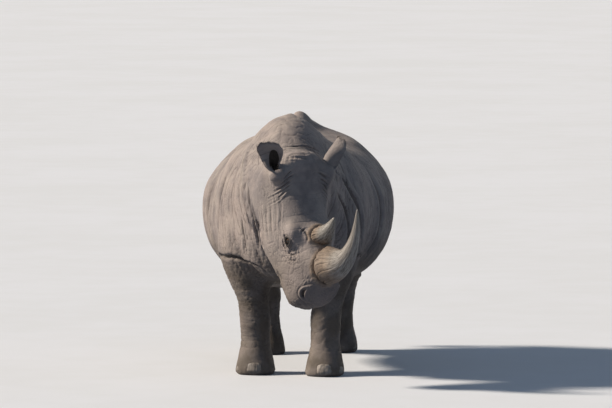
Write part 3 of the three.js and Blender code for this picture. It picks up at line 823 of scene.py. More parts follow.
def body_folds(hide, form):
    """The great folds of neck, shoulders, elbows, flanks and thighs."""
    # neck against the shoulder, on both sides
    hide.crease(form.from_ahead((-0.24, 1.6), (-0.285, 1.48), (-0.3, 1.36), (-0.3, 1.23),
                                (-0.285, 1.13), (-0.27, 1.04), (-0.25, 0.93)),
                0.014, 0.025, roll=0.011, over=0.014, reach=0.09)
    hide.crease(form.from_ahead((0.2, 1.52), (0.29, 1.4), (0.4, 1.25), (0.465, 1.11),
                                (0.49, 0.98), (0.47, 0.85)),
                0.02, 0.022, roll=0.01, over=-0.012, reach=0.09)
    # shoulder against the barrel
    hide.crease(form.from_ahead((-0.4, 1.42), (-0.455, 1.27), (-0.475, 1.13), (-0.485, 1.0),
                                (-0.49, 0.86)),
                0.026, 0.014, roll=0.005, fade=0.3)
    for side in (1, -1):
        hide.crease(form.from_side(side, (0.02, 1.42), (0.06, 1.2), (0.07, 0.98), (0.02, 0.8),
                                   (-0.06, 0.7)),
                    0.03, 0.02, roll=0.007, fade=0.35)
        # the sleeve: skin of the elbow and breast hanging over the upper foreleg
        behind = form.from_side(side, *SLEEVE_BEHIND)
        ahead = form.around(side, (side * 0.29, -0.3), 0.42, *SLEEVE_ROUND)
        breast = form.from_ahead(*SLEEVE_BREAST) if side < 0 else ahead[-1:]
        sleeve = np.concatenate([behind, ahead, breast])
        hide.crease(sleeve, 0.015, 0.02, roll=0.003, over=-side * 0.018, reach=0.07, fade=0.15,
                    painted_shade=0.75)
        # flank against the thigh, and the thigh over the knee
        hide.crease(form.from_side(side, (0.74, 1.0), (0.8, 0.85), (0.87, 0.71), (0.95, 0.6)),
                    0.03, 0.028, roll=0.006, over=side * 0.01, reach=0.1, fade=0.35)
        hide.crease(form.from_side(side, (0.9, 0.64), (1.05, 0.575), (1.2, 0.585),
                                   (1.33, 0.66)),
                    0.018, 0.018, roll=0.006, over=-side * 0.014, reach=0.07)
        hide.crease(form.from_side(side, (1.38, 1.16), (1.42, 1.0), (1.4, 0.84),
                                   (1.36, 0.72)),
                    0.026, 0.014, roll=0.004, fade=0.35)
        # beside the root of the tail
        hide.crease(form.from_behind((side * 0.11, 1.32), (side * 0.12, 1.15),
                                     (side * 0.1, 0.98), (side * 0.06, 0.84)),
                    0.022, 0.02, roll=0.006, fade=0.3)
    # the hump's crest and the ridge over the hips, drawn sharper
    hide.crease(form.from_above((0, -0.62), (0, -0.45), (0, -0.3), (0, -0.1)),
                0.035, -0.014, painted_shade=0, fade=0.45)
    hide.crease(form.from_above((-0.02, 0.6), (-0.024, 0.76), (-0.024, 0.92), (-0.02, 1.08)),
                0.046, -0.032, painted_shade=0, fade=0.5)
    hide.renew()
    # lesser folds of the neck between the great one and the jaw
    hide.crease(form.from_ahead((-0.245, 1.17), (-0.225, 1.06), (-0.19, 0.95), (-0.17, 0.84)),
                0.013, 0.012, roll=0.005)
    hide.crease(form.from_ahead((-0.27, 1.3), (-0.262, 1.18), (-0.24, 1.05), (-0.215, 0.93),
                                (-0.2, 0.82)),
                0.012, 0.01, roll=0.004)
    hide.crease(form.from_ahead((-0.33, 1.08), (-0.315, 0.98), (-0.3, 0.9), (-0.3, 0.83)),
                0.012, 0.009, roll=0.003)
    hide.crease(form.from_ahead((0.3, 1.26), (0.375, 1.12), (0.4, 0.98), (0.395, 0.85)),
                0.014, 0.012, roll=0.005)
    hide.renew()


def head_folds(hide, form):
    """Creases of nape, ears, brow, cheeks and muzzle."""
    # across the nape
    hide.crease(form.from_ahead((-0.07, 1.525), (0.0, 1.532), (0.09, 1.532), (0.16, 1.515),
                                (0.22, 1.48)),
                0.009, 0.009, roll=0.006, over=-0.006, reach=0.03, fade=0.3, painted_shade=0.6)
    hide.crease(form.from_ahead((-0.05, 1.447), (0.0, 1.455), (0.06, 1.452), (0.12, 1.452),
                                (0.19, 1.465)),
                0.009, 0.006, roll=0.005, fade=0.4, painted_shade=0.4)
    hide.crease(form.from_ahead((-0.04, 1.49), (0.03, 1.492), (0.1, 1.492), (0.16, 1.485)),
                0.007, 0.004, roll=0.003, fade=0.4, painted_shade=0.3)
    for side in (1, -1):
        # fanning out below the root of each ear
        for step in range(6):
            low = 11.5 + 2.7 * step + 0.8 * sin(5 * step + side)
            reach = (7 - 0.8 * step) * (1 + 0.25 * sin(9 * step + 2 * side))
            path = form.on_brow(side, (low + 2.8, 20.5), (low + 0.8, 18),
                                (low - 1.8, 17.5 - reach / 2), (low - 3.2, 17 - reach))
            hide.crease(path, 0.0075, (0.0085 - 0.0009 * step) * (1 if side < 0 else 0.6),
                        roll=0.0045, fade=0.35, painted_shade=0.55)
        # upright creases of the cheek, behind the eye
        for step in range(6):
            off = -15 - 4.2 * step
            start = 16 + 5 * sin(4 * step)
            hide.crease(form.on_cheek(side, (start, off + 2.5), (30, off + 1 - 0.6 * step),
                                      (42 + step, off - 1.5), (53 + 3 * sin(3 * step), off - 1)),
                        0.0095, 0.0045, roll=0.002, fade=0.45, painted_shade=0.6)
        # between eye and horns
        hide.crease(form.on_brow(side, (46, 13.5), (50, 10.5), (55, 10), (60, 12)),
                    0.008, 0.007, roll=0.003, fade=0.35)
        # the hollow behind the corner of the mouth
        hide.crease(form.on_cheek(side, (70, -36), (75, -33.5), (81, -32.5)),
                    0.03, 0.02, fade=0.45)
        # the mouth
        hide.crease(form.on_cheek(side, (78, -32.5), (84, -30.5), (91, -27.5), (97, -25.5)),
                    0.007, 0.012, roll=0.004, fade=0.1)
        hide.crease(form.on_cheek(side, (74, -28), (77, -31), (80, -35)),
                    0.007, 0.006, roll=0.003, fade=0.35)
    hide.crease(form.on_lips((-13, -25.5), (-7, -24), (0, -23.5), (7, -24), (13, -25.5)),
                0.007, 0.013, roll=0.004, fade=0.1)
    hide.renew()


LID_LONG = 0.022  # half the length of the eye's opening, and how far its lids part above
LID_ABOVE, LID_BELOW = 0.0125, 0.014  # and below the middle
LID_THICK = 0.0022
LID_REACH = 0.085  # as far from the eye as the lids' creases go
LID_SHADE = 0.7     # how dark the lids' edges are painted as shade over their dark skin, against the ears' hollows


def lid_ways(side):
    """Straight out of an eye's opening, and across it towards the brow."""
    out = unit(side * Head.left + 0.25 * Head.off)
    return out, unit(np.cross(out, Head.down)) * side


def shape_eyelids(hide):
    """Lids close round each eye, with the creases of a hooded brow above and bags below, and
    painted shade in the lid's crease and round the eye over its dark skin. Gives how near each
    place is to the lids' edges, which are painted dark as shade."""
    edges = np.zeros(len(hide.points))
    for eye, side in zip(Head.eyes, (1, -1)):
        out, across = lid_ways(side)
        near = np.flatnonzero(far_from(eye, hide.points) < LID_REACH)
        apart = hide.points[near] - eye
        long, wide = apart @ Head.down, apart @ across
        wide = wide - 6 * long ** 2
        from_middle = np.hypot(long, wide)
        round_eye = np.hypot(long / LID_LONG, wide / np.where(wide > 0, LID_ABOVE, LID_BELOW))
        ball = np.sqrt(np.maximum(EYE_RADIUS ** 2 - np.minimum(from_middle, 0.0145) ** 2, 0))
        lid = ball + LID_THICK + 0.0016 * bell(round_eye - 1.35, 0.3)
        lid = np.where(round_eye < 1, lid - 0.02 * smooth_step(round_eye, 1, 0.72), lid)
        high = apart @ out
        hold = smooth_step(round_eye, 2.6, 1.4)
        amount = hold * (lid - high)
        above = smooth_step(wide, -0.002, 0.008)
        amount += 0.0035 * bell(round_eye - 1.45, 0.3) * above
        amount -= 0.007 * bell(round_eye - 2.05, 0.26) * (0.3 + 0.7 * above)
        amount += 0.009 * bell(round_eye - 2.75, 0.55) * (0.15 + 0.85 * above)
        turn = np.arctan2(wide, long)
        rays = ridged(columns(turn * 3.2, round_eye * 0.5, 0 * turn), 58)
        amount -= 0.0028 * rays * smooth_step(round_eye, 1.5, 2.2) * smooth_step(round_eye, 5, 3.4)
        hide.points[near] += amount[:, None] * out
        # painted shade in the crease over the lid, and round the eye over its dark skin
        hide.darken(bell(round_eye - 2.05, 0.3) * 0.8, near)
        hide.darken(smooth_step(round_eye, 2.7, 1.3) * (0.9 + 0.1 * above), near)
        edges[near] = smooth_step(round_eye, 2.3, 1.2)
    hide.renew()
    return edges


def brow_creases(hide, form):
    """The dark crease over each eye's upper corner, and the bags behind and below it."""
    for side in (1, -1):
        hide.crease(form.on_brow(side, (52, 13), (49.8, 12), (48.8, 10.2), (49, 8.4)),
                    0.0065, 0.0055, roll=0.0035, fade=0.4)
        hide.crease(form.on_cheek(side, (51, -15.5), (54, -16.6), (58, -16.4), (61.5, -14)),
                    0.006, 0.006, roll=0.004, fade=0.3)
        hide.crease(form.on_cheek(side, (62.5, -15), (64.5, -12.5), (65, -9)),
                    0.007, 0.007, roll=0.004, fade=0.35)
        hide.crease(form.on_cheek(side, (66, -17), (68.5, -13.5), (68.5, -9.5)),
                    0.007, 0.006, roll=0.004, fade=0.35)
    hide.renew()


def nostril_aim(side):
    return unit(side * 0.8 * Head.left + 0.55 * Head.off + 0.15 * Head.down)


def nostril_beds(form):
    """Where each nostril opens on the side of the muzzle."""
    beds = []
    for side in (1, -1):
        aim = nostril_aim(side)
        beds.append(form.meet(on_head(91, side * 9, -13) + 0.6 * aim, -aim))
    return beds


NOSTRIL_LONG, NOSTRIL_WIDE, NOSTRIL_DEEP = 0.031, 0.0125, 0.03
NOSTRIL_REACH = 0.1


def shape_nostrils(hide, form):
    """A slanting, comma-shaped opening with a thick rim, on each side of the muzzle."""
    for side, bed in zip((1, -1), nostril_beds(form)):
        aim = nostril_aim(side)
        long_way = unit(Head.down - 0.75 * Head.off)
        long_way = unit(long_way - (long_way @ aim) * aim)
        wide_way = np.cross(aim, long_way)
        near = np.flatnonzero(far_from(bed, hide.points) < NOSTRIL_REACH)
        apart = hide.points[near] - bed
        long, wide = apart @ long_way, apart @ wide_way * side
        wide = wide + 10 * long ** 2 - 0.004
        round_it = np.hypot(long / NOSTRIL_LONG, wide / NOSTRIL_WIDE)
        amount = -NOSTRIL_DEEP * smooth_step(round_it, 1.2, 0.35)
        amount += 0.009 * bell(round_it - 1.7, 0.6)
        amount -= 0.004 * bell(round_it - 2.9, 0.5)
        hide.points[near] += amount[:, None] * aim
        # painted shade inside the nostril
        hide.darken(smooth_step(round_it, 1.2, 0.7), near)
    hide.renew()


def regions(hide):
    """How much each place belongs to the head, the muzzle, the legs, the neck and the flanks."""
    _, y, z = hide.points.T
    head = smooth_step(hide.along, -6, 6) * smooth_step(hide.off, -58, -48)
    head = head * smooth_step(np.abs(hide.left), 34, 26) * (y < HEAD_FROM)
    muzzle = head * smooth_step(hide.along, 62, 80)
    legs = smooth_step(z, 0.72, 0.6) * (1 - head) * smooth_step(y, 1.47, 1.4)
    neck = smooth_step(y, -0.28, -0.5) * (1 - head) * (1 - legs)
    flanks = (1 - head) * (1 - legs) * (1 - neck)
    return head, muzzle, legs, neck, flanks


def wrinkle(hide):
    """The finer wrinkles, running the way the skin gives in each region, with painted shade in
    their valleys.
    """
    head, muzzle, legs, neck, flanks = regions(hide)
    points = hide.points
    x, y, z = points.T
    wander = drift(points * 3.1, 11)
    waved = points + 0.05 * wander
    patchy = 0.5 + 0.5 * grain(points * 2.3, 21)
    amount = 0.006 * grain(points * 4.3, 31) * (1 - head)
    marks = np.zeros(len(points))

    def lay(depth, share, valleys, places, salt):
        """Valleys of that depth, wherever share is above nothing, kept in marks for painted shade.
        """
        where = np.flatnonzero(share > 0.02)
        cut = valleys(places[where], salt) * share[where]
        amount[where] -= depth * cut
        marks[where] = np.maximum(marks[where], cut * min(1, depth / 0.007))

    def furrows(places, salt):
        return ridged(places, salt) ** 2

    def plates(places, salt):
        return 1 - smooth_step(cracks(places, salt), 0, 0.4)

    lay(0.005, flanks * (0.25 + 0.75 * patchy), furrows, waved * [3, 15, 1.6], 41)
    lay(0.0028, flanks, furrows, waved * [6, 34, 3.2], 42)
    lay(0.0016, flanks, furrows, waved * [22, 60, 16], 47)
    lay(0.0075, neck * (0.3 + 0.7 * patchy), furrows, waved * [9, 14, 2.6], 43)
    lay(0.0036, neck * (0.3 + 0.7 * patchy), furrows, waved * [18, 26, 6], 59)
    lay(0.003, neck, furrows, waved * [30, 34, 8], 48)
    shins = legs * smooth_step(z, 0.1, 0.2)
    lay(0.0038, shins * (0.3 + 0.7 * patchy), furrows, waved * [6, 6, 24], 44)
    lay(0.0024, shins, furrows, waved * [14, 14, 44], 49)
    elbows = smooth_step(z, 1.05, 0.85) * smooth_step(z, 0.3, 0.5) * smooth_step(y, 0.1, -0.15)
    lay(0.0024, (1 - head) * elbows, plates, (points + 0.02 * wander) * [34, 34, 38], 51)
    spine = bell(x, 0.2) * smooth_step(z, 1.3, 1.5) * smooth_step(y, -0.1, 0.3)
    lay(0.009, spine * (0.4 + 0.6 * patchy), furrows, waved * [4, 17, 9], 53)
    brow = columns(hide.along * 0.36, hide.left * 0.07, hide.off * 0.07)
    cheek = columns(hide.along * 0.12, hide.left * 0.3, hide.off * 0.4)
    front = smooth_step(hide.off, -16, -9)
    face = head * (1 - muzzle)
    lay(0.0017, face * front, furrows, brow + 0.9 * wander, 45)
    swirl = drift(points * 8, 14)
    lay(0.0024, face * (1 - front), furrows, cheek + 1.2 * wander + 0.6 * swirl, 46)
    lay(0.0014, face * (1 - front), furrows, 2.4 * cheek + 2 * wander + 0.9 * swirl, 57)
    under_eye = bell(hide.along - 63, 8) * bell(hide.off + 13, 9) * head
    lay(0.0045, under_eye, furrows, (points + 0.03 * wander) * [34, 34, 20], 60)
    nose = np.clip(0.9 * muzzle + under_eye, 0, 1)
    uneven = 0.35 + 0.65 * smooth_step(grain(points * 13, 55), -0.4, 0.5)
    lay(0.0042, nose * uneven, plates, (points + 0.014 * wander) * 46, 52)
    lay(0.003, nose, furrows, (points + 0.02 * wander) * [16, 16, 26], 56)
    amount += 0.003 * nose * grain(points * 24, 54)
    hide.push(amount)
    # painted shade in the wrinkles' valleys
    hide.darken(marks * 0.75 * (1 - 0.6 * hide.firm))
    hide.renew()


def rim_round(hide, names, width, height):
    """The skin swollen in a worn, torn collar against each hard part. Gives how near each
    place is to one."""
    nearness = np.zeros(len(hide.points))
    for name in names:
        tree = tree_of(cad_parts[name].data)
        low, high = (np.array(corner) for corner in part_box(name))
        near = np.all((hide.points > low - 4 * width) & (hide.points < high + 4 * width), axis=1)
        where = np.flatnonzero(near)
        apart = np.array([tree.find_nearest(point)[3] for point in hide.points[where]])
        torn = 0.7 + 0.5 * grain(hide.points[where] * 38, 71)
        hide.push(height * torn * bell(apart, 1.6 * width), where)
        nearness[where] = np.maximum(nearness[where], bell(apart, 2 * width))
    hide.renew()
    return nearness


def calm(hide, places, reach):
    """The skin eased smooth round each of these places, ready to be carved."""
    share = np.zeros(len(hide.points))
    for spot in places:
        share = np.maximum(share, smooth_step(far_from(spot, hide.points), reach, 0.6 * reach))
    hide.ease(22, 0.5 * share)
    hide.renew()


def mark_hide(hide, marks):
    """What the colours and hairs go by: ridges and valleys, the painted shade of creases and
    hollows, the ears' rims, the horns' collars and the muzzle."""
    raised = np.zeros(len(hide.points))
    for times, size in ((3, 0.0012), (24, 0.005)):
        eased = hide.web.ease(hide.points, times, 0.5)
        height = np.sum((hide.points - eased) * hide.normals, axis=1)
        raised += 0.5 * np.clip(height / size, -1, 1)
    store(hide.mesh, "raised", raised)
    store(hide.mesh, "crease_shade", hide.crease_shade)
    store(hide.mesh, "hollow", hide.web.ease(marks["hollow"][:, None], 2, 0.5)[:, 0])
    store(hide.mesh, "rim", marks["rim"])
    store(hide.mesh, "collar", marks["collar"])
    muzzle = regions(hide)[1]
    store(hide.mesh, "muzzle", muzzle * smooth_step(hide.off, -34, -10))


# ---------------------------------------------------------------- horns, eyes and nails

def worn_keratin(mesh, amount, rise, fibre):
    """A mesh pushed out by each place's amount, with how high each place is and its fibres."""
    set_points(mesh, points_of(mesh) + normals_of(mesh) * amount[:, None])
    store(mesh, "rise", rise)
    store(mesh, "fibre", fibre)
    return mesh


def horn_mesh(name):
    """A horn of packed fibres: frayed and ridged at its base, worn smooth towards its tip."""
    mesh = refined(mesh_from(node_bmesh(name), name + "_rough"), 4, name + "_keratin")
    points = points_of(mesh)
    along, left, off = head_measure(points)
    rise = (off - off.min()) / np.ptp(off)
    out_along = along - np.polyval(np.polyfit(rise, along, 5), rise)
    out_left = left - np.polyval(np.polyfit(rise, left, 5), rise)
    round_it = np.arctan2(out_left, out_along)
    fibre = columns(np.cos(round_it), np.sin(round_it), rise * 1.2)
    fray = smooth_step(rise, 0.62, 0.12)
    amount = -0.0065 * fray * ridged(fibre * [5, 5, 1.2], 81) ** 2
    amount -= 0.003 * fray * ridged(fibre * [13, 13, 2], 82) ** 2
    amount += 0.007 * fray * grain(fibre * [2.2, 2.2, 5], 83)
    amount -= 0.0008 * (1 - fray) * ridged(fibre * [7, 7, 1], 84)
    return worn_keratin(mesh, amount, rise, fibre)


def nail_mesh(name):
    """A broad worn toenail with a few upright ridges."""
    mesh = refined(mesh_from(node_bmesh(name), name + "_rough"), 3, name + "_keratin")
    points = points_of(mesh)
    rise = (points[:, 2] - points[:, 2].min()) / np.ptp(points[:, 2])
    fibre = points * [60, 60, 9]
    amount = -0.0016 * ridged(fibre, 91) + 0.0012 * grain(points * [20, 20, 70], 92)
    return worn_keratin(mesh, amount, rise, fibre * 0.2)


def eye_mesh(name):
    """An eyeball with a bulging cornea, its pole turned out to the side and a little ahead."""
    pole = unit(side_of(name) * Head.left + 0.35 * Head.off)
    across = unit(np.cross(pole, Head.down))
    upright = np.cross(across, pole)
    rings, spokes = 30, 48
    white, bulge = 0.965, 0.075  # the ball's radius and its cornea, as shares of EYE_RADIUS
    places, tilts, faces = [], [], []
    for ring in range(1, rings):
        tilt = pi * ring / rings
        reach = EYE_RADIUS * (white + bulge * np.exp(-(tilt / 0.62) ** 4))
        for turn in np.arange(spokes) * 2 * pi / spokes:
            out = cos(turn) * across + sin(turn) * upright
            places.append(reach * (cos(tilt) * pole + sin(tilt) * out))
            tilts.append(tilt)
    for ring in range(rings - 2):
        for spoke in range(spokes):
            here, after = ring * spokes + spoke, ring * spokes + (spoke + 1) % spokes
            faces.append((here, here + spokes, after + spokes, after))
    for ring, tilt in ((0, 0.0), (rings - 2, pi)):
        centre = len(places)
        reach = EYE_RADIUS * (white + bulge if tilt == 0 else white)
        places.append(reach * cos(tilt) * pole)
        tilts.append(tilt)
        for spoke in range(spokes):
            pair = [ring * spokes + spoke, ring * spokes + (spoke + 1) % spokes]
            faces.append((centre, *(pair if tilt == 0 else reversed(pair))))
    mesh = body_from(name + "_ball", np.array(places) + middle(name), faces)
    store(mesh, "tilt", np.array(tilts))
    return mesh


# ---------------------------------------------------------------- hairs

BAKE_PATCH = 0.003  # across a hair's own patch of the unwrap
ROOT_DEPTH = 0.001  # how deep a hair stands in the skin
FRINGE_HAIRS, TUFT_HAIRS, LASH_HAIRS = 460, 900, 46


def hairs_mesh(name, roots, ways, lengths, width, unwrap, droop=0.0):
    """Tapering three-sided hairs, each with its own small patch of the skin's unwrap."""
    joints = 4
    corners, faces, tones, rises = [], [], [], []
    for number, (root, way, length) in enumerate(zip(roots, units(ways), lengths)):
        side = unit(np.cross(way, [0.3, 0.2, 0.93]))
        other = np.cross(way, side)
        first = len(corners)
        for joint in range(joints):
            share = joint / joints
            centre = root + way * length * share - np.array([0, 0, droop]) * length * share ** 2
            for turn in (0, 2 * pi / 3, 4 * pi / 3):
                out = cos(turn) * side + sin(turn) * other
                corners.append(centre + out * width * (1 - 0.75 * share))
                rises.append(share)
        corners.append(root + way * length - np.array([0, 0, droop]) * length)
        rises.append(1.0)
        tones.extend([(number * 0.618) % 1] * (3 * joints + 1))
        faces.append((first + 2, first + 1, first))
        for joint in range(joints - 1):
            low, high = first + 3 * joint, first + 3 * joint + 3
            for turn in range(3):
                after = (turn + 1) % 3
                faces.append((low + turn, low + after, high + after, high + turn))
        last, tip = first + 3 * (joints - 1), first + 3 * joints
        for turn in range(3):
            faces.append((last + turn, last + (turn + 1) % 3, tip))
    mesh = bpy.data.meshes.new(name)
    mesh.from_pydata([tuple(corner) for corner in corners], [], faces)
    store(mesh, "strand", np.array(tones))
    store(mesh, "rise", np.array(rises))
    each = 3 * joints + 1
    layer = mesh.uv_layers.new(name="OFBake")
    owner = listed(mesh.loops, "vertex_index", 1, np.int64)[:, 0]
    around = (owner % each % 3) / 3
    places = np.array(unwrap)[owner // each]
    places = places + BAKE_PATCH * columns(around, np.array(rises)[owner]) * 0.9
    layer.data.foreach_set("uv", places.ravel())
    return mesh


def spread_on(mesh, count, wanted, seed, least):
    """Root places and normals picked at random on the faces a test wants, kept apart."""
    rng = np.random.default_rng(seed)
    centres, normals = listed(mesh.polygons, "center"), listed(mesh.polygons, "normal")
    chosen = np.flatnonzero(wanted(centres))
    rng.shuffle(chosen)
    kept = []
    taken = set()
    for index in chosen:
        cell = tuple(np.floor(centres[index] / least).astype(int))
        if cell not in taken:
            taken.add(cell)
            kept.append(index)
        if len(kept) == count:
            break
    return centres[kept], normals[kept], rng


def ear_fringe(mesh, name):
    """Short dark hairs standing along the upper rim of an ear."""
    ear = Ear(name)
    along_rim = read(mesh, "rim")[[face.vertices[0] for face in mesh.polygons]]

    def wanted(centres):
        return (along_rim > 0.5) & (far_from(ear.heart, centres) < EAR_REACH)

    roots, normals, rng = spread_on(mesh, FRINGE_HAIRS, wanted, 7, 0.0028)
    ways = normals + 0.35 * ear.rise + 0.25 * rng.normal(size=normals.shape)
    lengths = 0.005 + 0.007 * rng.random(len(roots))
    up, inward, _ = ear.measure(roots)
    unwrap = columns(0.5 + inward * 2.2, 0.5 + up * 2.2)
    roots = roots - ROOT_DEPTH * normals
    return hairs_mesh(name + "_fringe", roots, ways, lengths, 0.0005, unwrap)


def tail_tuft(mesh):
    """The stiff black hairs down both edges and round the end of the tail."""
    low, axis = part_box("tail")[0], middle("tail")

    def wanted(centres):
        end = centres[:, 2] < low[2] + 0.24
        return end & (centres[:, 1] > 1.44) & (np.abs(centres[:, 0]) < 0.09)

    roots, normals, rng = spread_on(mesh, TUFT_HAIRS, wanted, 8, 0.004)
    ways = 0.35 * normals + [0, 0, -1] + 0.12 * rng.normal(size=normals.shape)
    lengths = 0.07 + 0.07 * rng.random(len(roots))
    turn = np.arctan2(roots[:, 0], roots[:, 1] - axis[1]) / (2 * pi)
    unwrap = columns(0.5 + 0.9 * turn, (roots[:, 2] - low[2]) * 3 + 0.1)
    roots = roots - ROOT_DEPTH * normals
    return hairs_mesh("tail_tuft", roots, ways, lengths, 0.0009, unwrap, droop=0.1)


def eye_lashes(name):
    """A sparse row of short lashes along the upper lid."""
    eye = middle(name)
    out, across = lid_ways(side_of(name))
    rng = np.random.default_rng(9)
    shares = np.linspace(-1, 1, LASH_HAIRS)
    long, high, up, forth = 0.0185, 0.0115, 0.0015, 0.0158  # the lid's edge round the eye
    roots = np.array([eye + long * share * Head.down
                      + (high * (1 - share ** 2) ** 0.5 + up) * across + forth * out
                      for share in shares])
    ways = out + 0.75 * across + 0.12 * rng.normal(size=roots.shape)
    lengths = 0.011 + 0.006 * rng.random(len(roots))
    unwrap = columns(0.5 + shares * 0.3, np.full(len(roots), 0.5))
    return hairs_mesh(name + "_lashes", roots, ways, lengths, 0.0005, unwrap, droop=0.25)


# ---------------------------------------------------------------- materials

class Wiring:
    """A node tree being filled, with a short way to add each node and wire it."""

    def __init__(self, tree):
        self.tree = tree

    def node(self, kind, wired=(), **settings):
        made = self.tree.nodes.new(kind)
        for name, value in settings.items():
            setattr(made, name, value)
        for socket, value in dict(wired).items():
            if isinstance(value, bpy.types.NodeSocket):
                self.tree.links.new(value, made.inputs[socket])
            else:
                made.inputs[socket].default_value = value
        return made

    def math(self, operation, one, other):
        return self.node("ShaderNodeMath", {0: one, 1: other}, operation=operation).outputs[0]

    def times(self, one, other):
        return self.math("MULTIPLY", one, other)

    def weighed(self, one, share, other, rest):
        """Two values added, each by its own share."""
        return self.math("ADD", self.times(one, share), self.times(other, rest))

    def blend(self, share, one, other):
        """One colour passing into another. 0, 6 and 7 are the share and the two colours."""
        wired = {0: share, 6: one, 7: other}
        return self.node("ShaderNodeMix", wired, data_type="RGBA").outputs[2]

    def ramp(self, value, low, high, start=0.0, end=1.0):
        wired = {"Value": value, "From Min": low, "From Max": high, "To Min": start,
                 "To Max": end}
        made = self.node("ShaderNodeMapRange", wired, interpolation_type="SMOOTHSTEP")
        return made.outputs["Result"]

    def cover(self, colour, tone, value, low, high, start=0.0, end=1.0):
        """A tone laid over a colour, from start to end as the value goes from low to high."""
        return self.blend(self.ramp(value, low, high, start, end), colour, tone)

    def noise(self, where, scale, detail):
        wired = {"Vector": where, "Scale": scale, "Detail": detail}
        return self.node("ShaderNodeTexNoise", wired).outputs["Fac"]

    def edges(self, where, scale):
        wired = {"Vector": where, "Scale": scale}
        made = self.node("ShaderNodeTexVoronoi", wired, feature="DISTANCE_TO_EDGE")
        return made.outputs["Distance"]

    def stored(self, name, output="Fac"):
        return self.node("ShaderNodeAttribute", attribute_name=name).outputs[output]

    def here(self):
        return self.node("ShaderNodeTexCoord").outputs["Object"]

    def seen(self):
        """1 for the rays that show a thing to the eye, 0 for those that only carry light."""
        rays = self.node("ShaderNodeLightPath").outputs
        seen = self.math("MAXIMUM", rays["Is Camera Ray"], rays["Is Glossy Ray"])
        return self.math("MAXIMUM", seen, rays["Is Transmission Ray"])

    def effect(self, group, **wired):
        """A reusable effect's outputs, with its inputs given by name."""
        named = {label.capitalize(): value for label, value in wired.items()}
        return self.node("ShaderNodeGroup", named, node_tree=group).outputs

    def mottled(self, where, size, dark, light):
        return self.effect(MOTTLING, where=where, size=size, dark=dark, light=light)["Colour"]


KINDS = {"colour": "NodeSocketColor", "value": "NodeSocketFloat", "vector": "NodeSocketVector"}


def make_group(name, taken, given, fill):
    """A reusable effect: taken and given are the kinds of its inputs and outputs by name."""
    group = bpy.data.node_groups.new(name, "ShaderNodeTree")
    for label, kind in taken.items():
        group.interface.new_socket(label, in_out="INPUT", socket_type=KINDS[kind])
    for label, kind in given.items():
        group.interface.new_socket(label, in_out="OUTPUT", socket_type=KINDS[kind])
    wiring = Wiring(group)
    entry = group.nodes.new("NodeGroupInput").outputs
    leave = group.nodes.new("NodeGroupOutput").inputs
    for label, socket in fill(wiring, entry).items():
        group.links.new(socket, leave[label])
    return group


def fill_mottling(wiring, entry):
    broad = wiring.noise(entry["Where"], entry["Size"], 4.0)
    fine = wiring.noise(entry["Where"], wiring.times(entry["Size"], 6.7), 3.0)
    share = wiring.ramp(wiring.weighed(broad, 0.65, fine, 0.35), 0.36, 0.64)
    return {"Colour": wiring.blend(share, entry["Dark"], entry["Light"])}


def fill_dry_cracks(wiring, entry):
    bend = wiring.node("ShaderNodeTexNoise", {"Vector": entry["Where"], "Scale": 9.0})
    wired = {0: bend.outputs["Color"], "Scale": 0.06}
    bent = wiring.node("ShaderNodeVectorMath", wired, operation="SCALE").outputs[0]
    wired = {0: entry["Where"], 1: bent}
    where = wiring.node("ShaderNodeVectorMath", wired, operation="ADD").outputs[0]
    plates = wiring.ramp(wiring.edges(where, entry["Size"]), 0.0, entry["Width"])
    fine = wiring.edges(where, wiring.times(entry["Size"], 2.7))
    height = wiring.weighed(plates, 0.55, wiring.ramp(fine, 0.0, entry["Width"]), 0.45)
    faint = wiring.ramp(wiring.noise(entry["Where"], 6.0, 3.0), 0.35, 0.62, 0.25, 1.0)
    lines = wiring.times(wiring.math("SUBTRACT", 1.0, height), faint)
    return {"Height": wiring.math("SUBTRACT", 1.0, lines), "Lines": lines}


def fill_fibres(wiring, entry):
    coarse = wiring.noise(entry["Fibre"], entry["Size"], 2.0)
    fine = wiring.noise(entry["Fibre"], wiring.times(entry["Size"], 3.1), 2.0)
    height = wiring.weighed(coarse, 0.6, fine, 0.4)
    return {"Height": height, "Streaks": wiring.ramp(height, 0.38, 0.62)}


def fill_dust(wiring, entry):
    patches = wiring.ramp(wiring.noise(entry["Where"], 5.5, 4.0), 0.38, 0.7)
    lying = wiring.times(wiring.times(patches, entry["Amount"]),
                         wiring.ramp(entry["Raised"], -0.5, 0.6))
    return {"Colour": wiring.blend(lying, entry["Colour"], entry["Dust"])}


MOTTLING = make_group("mottling", {"Where": "vector", "Size": "value", "Dark": "colour",
                                   "Light": "colour"},
                      {"Colour": "colour"}, fill_mottling)
DRY_CRACKS = make_group("dry_cracks", {"Where": "vector", "Size": "value", "Width": "value"},
                        {"Height": "value", "Lines": "value"}, fill_dry_cracks)
FIBRES = make_group("fibres", {"Fibre": "vector", "Size": "value"},
                    {"Height": "value", "Streaks": "value"}, fill_fibres)
DUST = make_group("dust", {"Where": "vector", "Colour": "colour", "Dust": "colour",
                           "Raised": "value", "Amount": "value"},
                  {"Colour": "colour"}, fill_dust)

DUST_TONE = (0.47, 0.395, 0.325, 1)
EARTH_AND_SHADE_TONE = (0.1, 0.078, 0.056, 1)
HIDE_DARK, HIDE_LIGHT = (0.21, 0.18, 0.168, 1), (0.4, 0.325, 0.28, 1)
MUZZLE_TONE = (0.225, 0.185, 0.165, 1)
CRACK_TONE = (0.13, 0.108, 0.098, 1)
VALLEY_SHADE_TONE = (0.115, 0.092, 0.08, 1)
CREASE_SHADE_TONE = (0.075, 0.06, 0.052, 1)
HOLLOW_SHADE_TONE = (0.004, 0.0035, 0.003, 1)


def new_material(name, roughness):
    """An empty material with its surface shader, and the wiring to fill it."""
    material = bpy.data.materials.new(name)
    material.use_nodes = True
    surface = material.node_tree.nodes["Principled BSDF"]
    surface.inputs["Roughness"].default_value = roughness
    return material, surface, Wiring(material.node_tree)


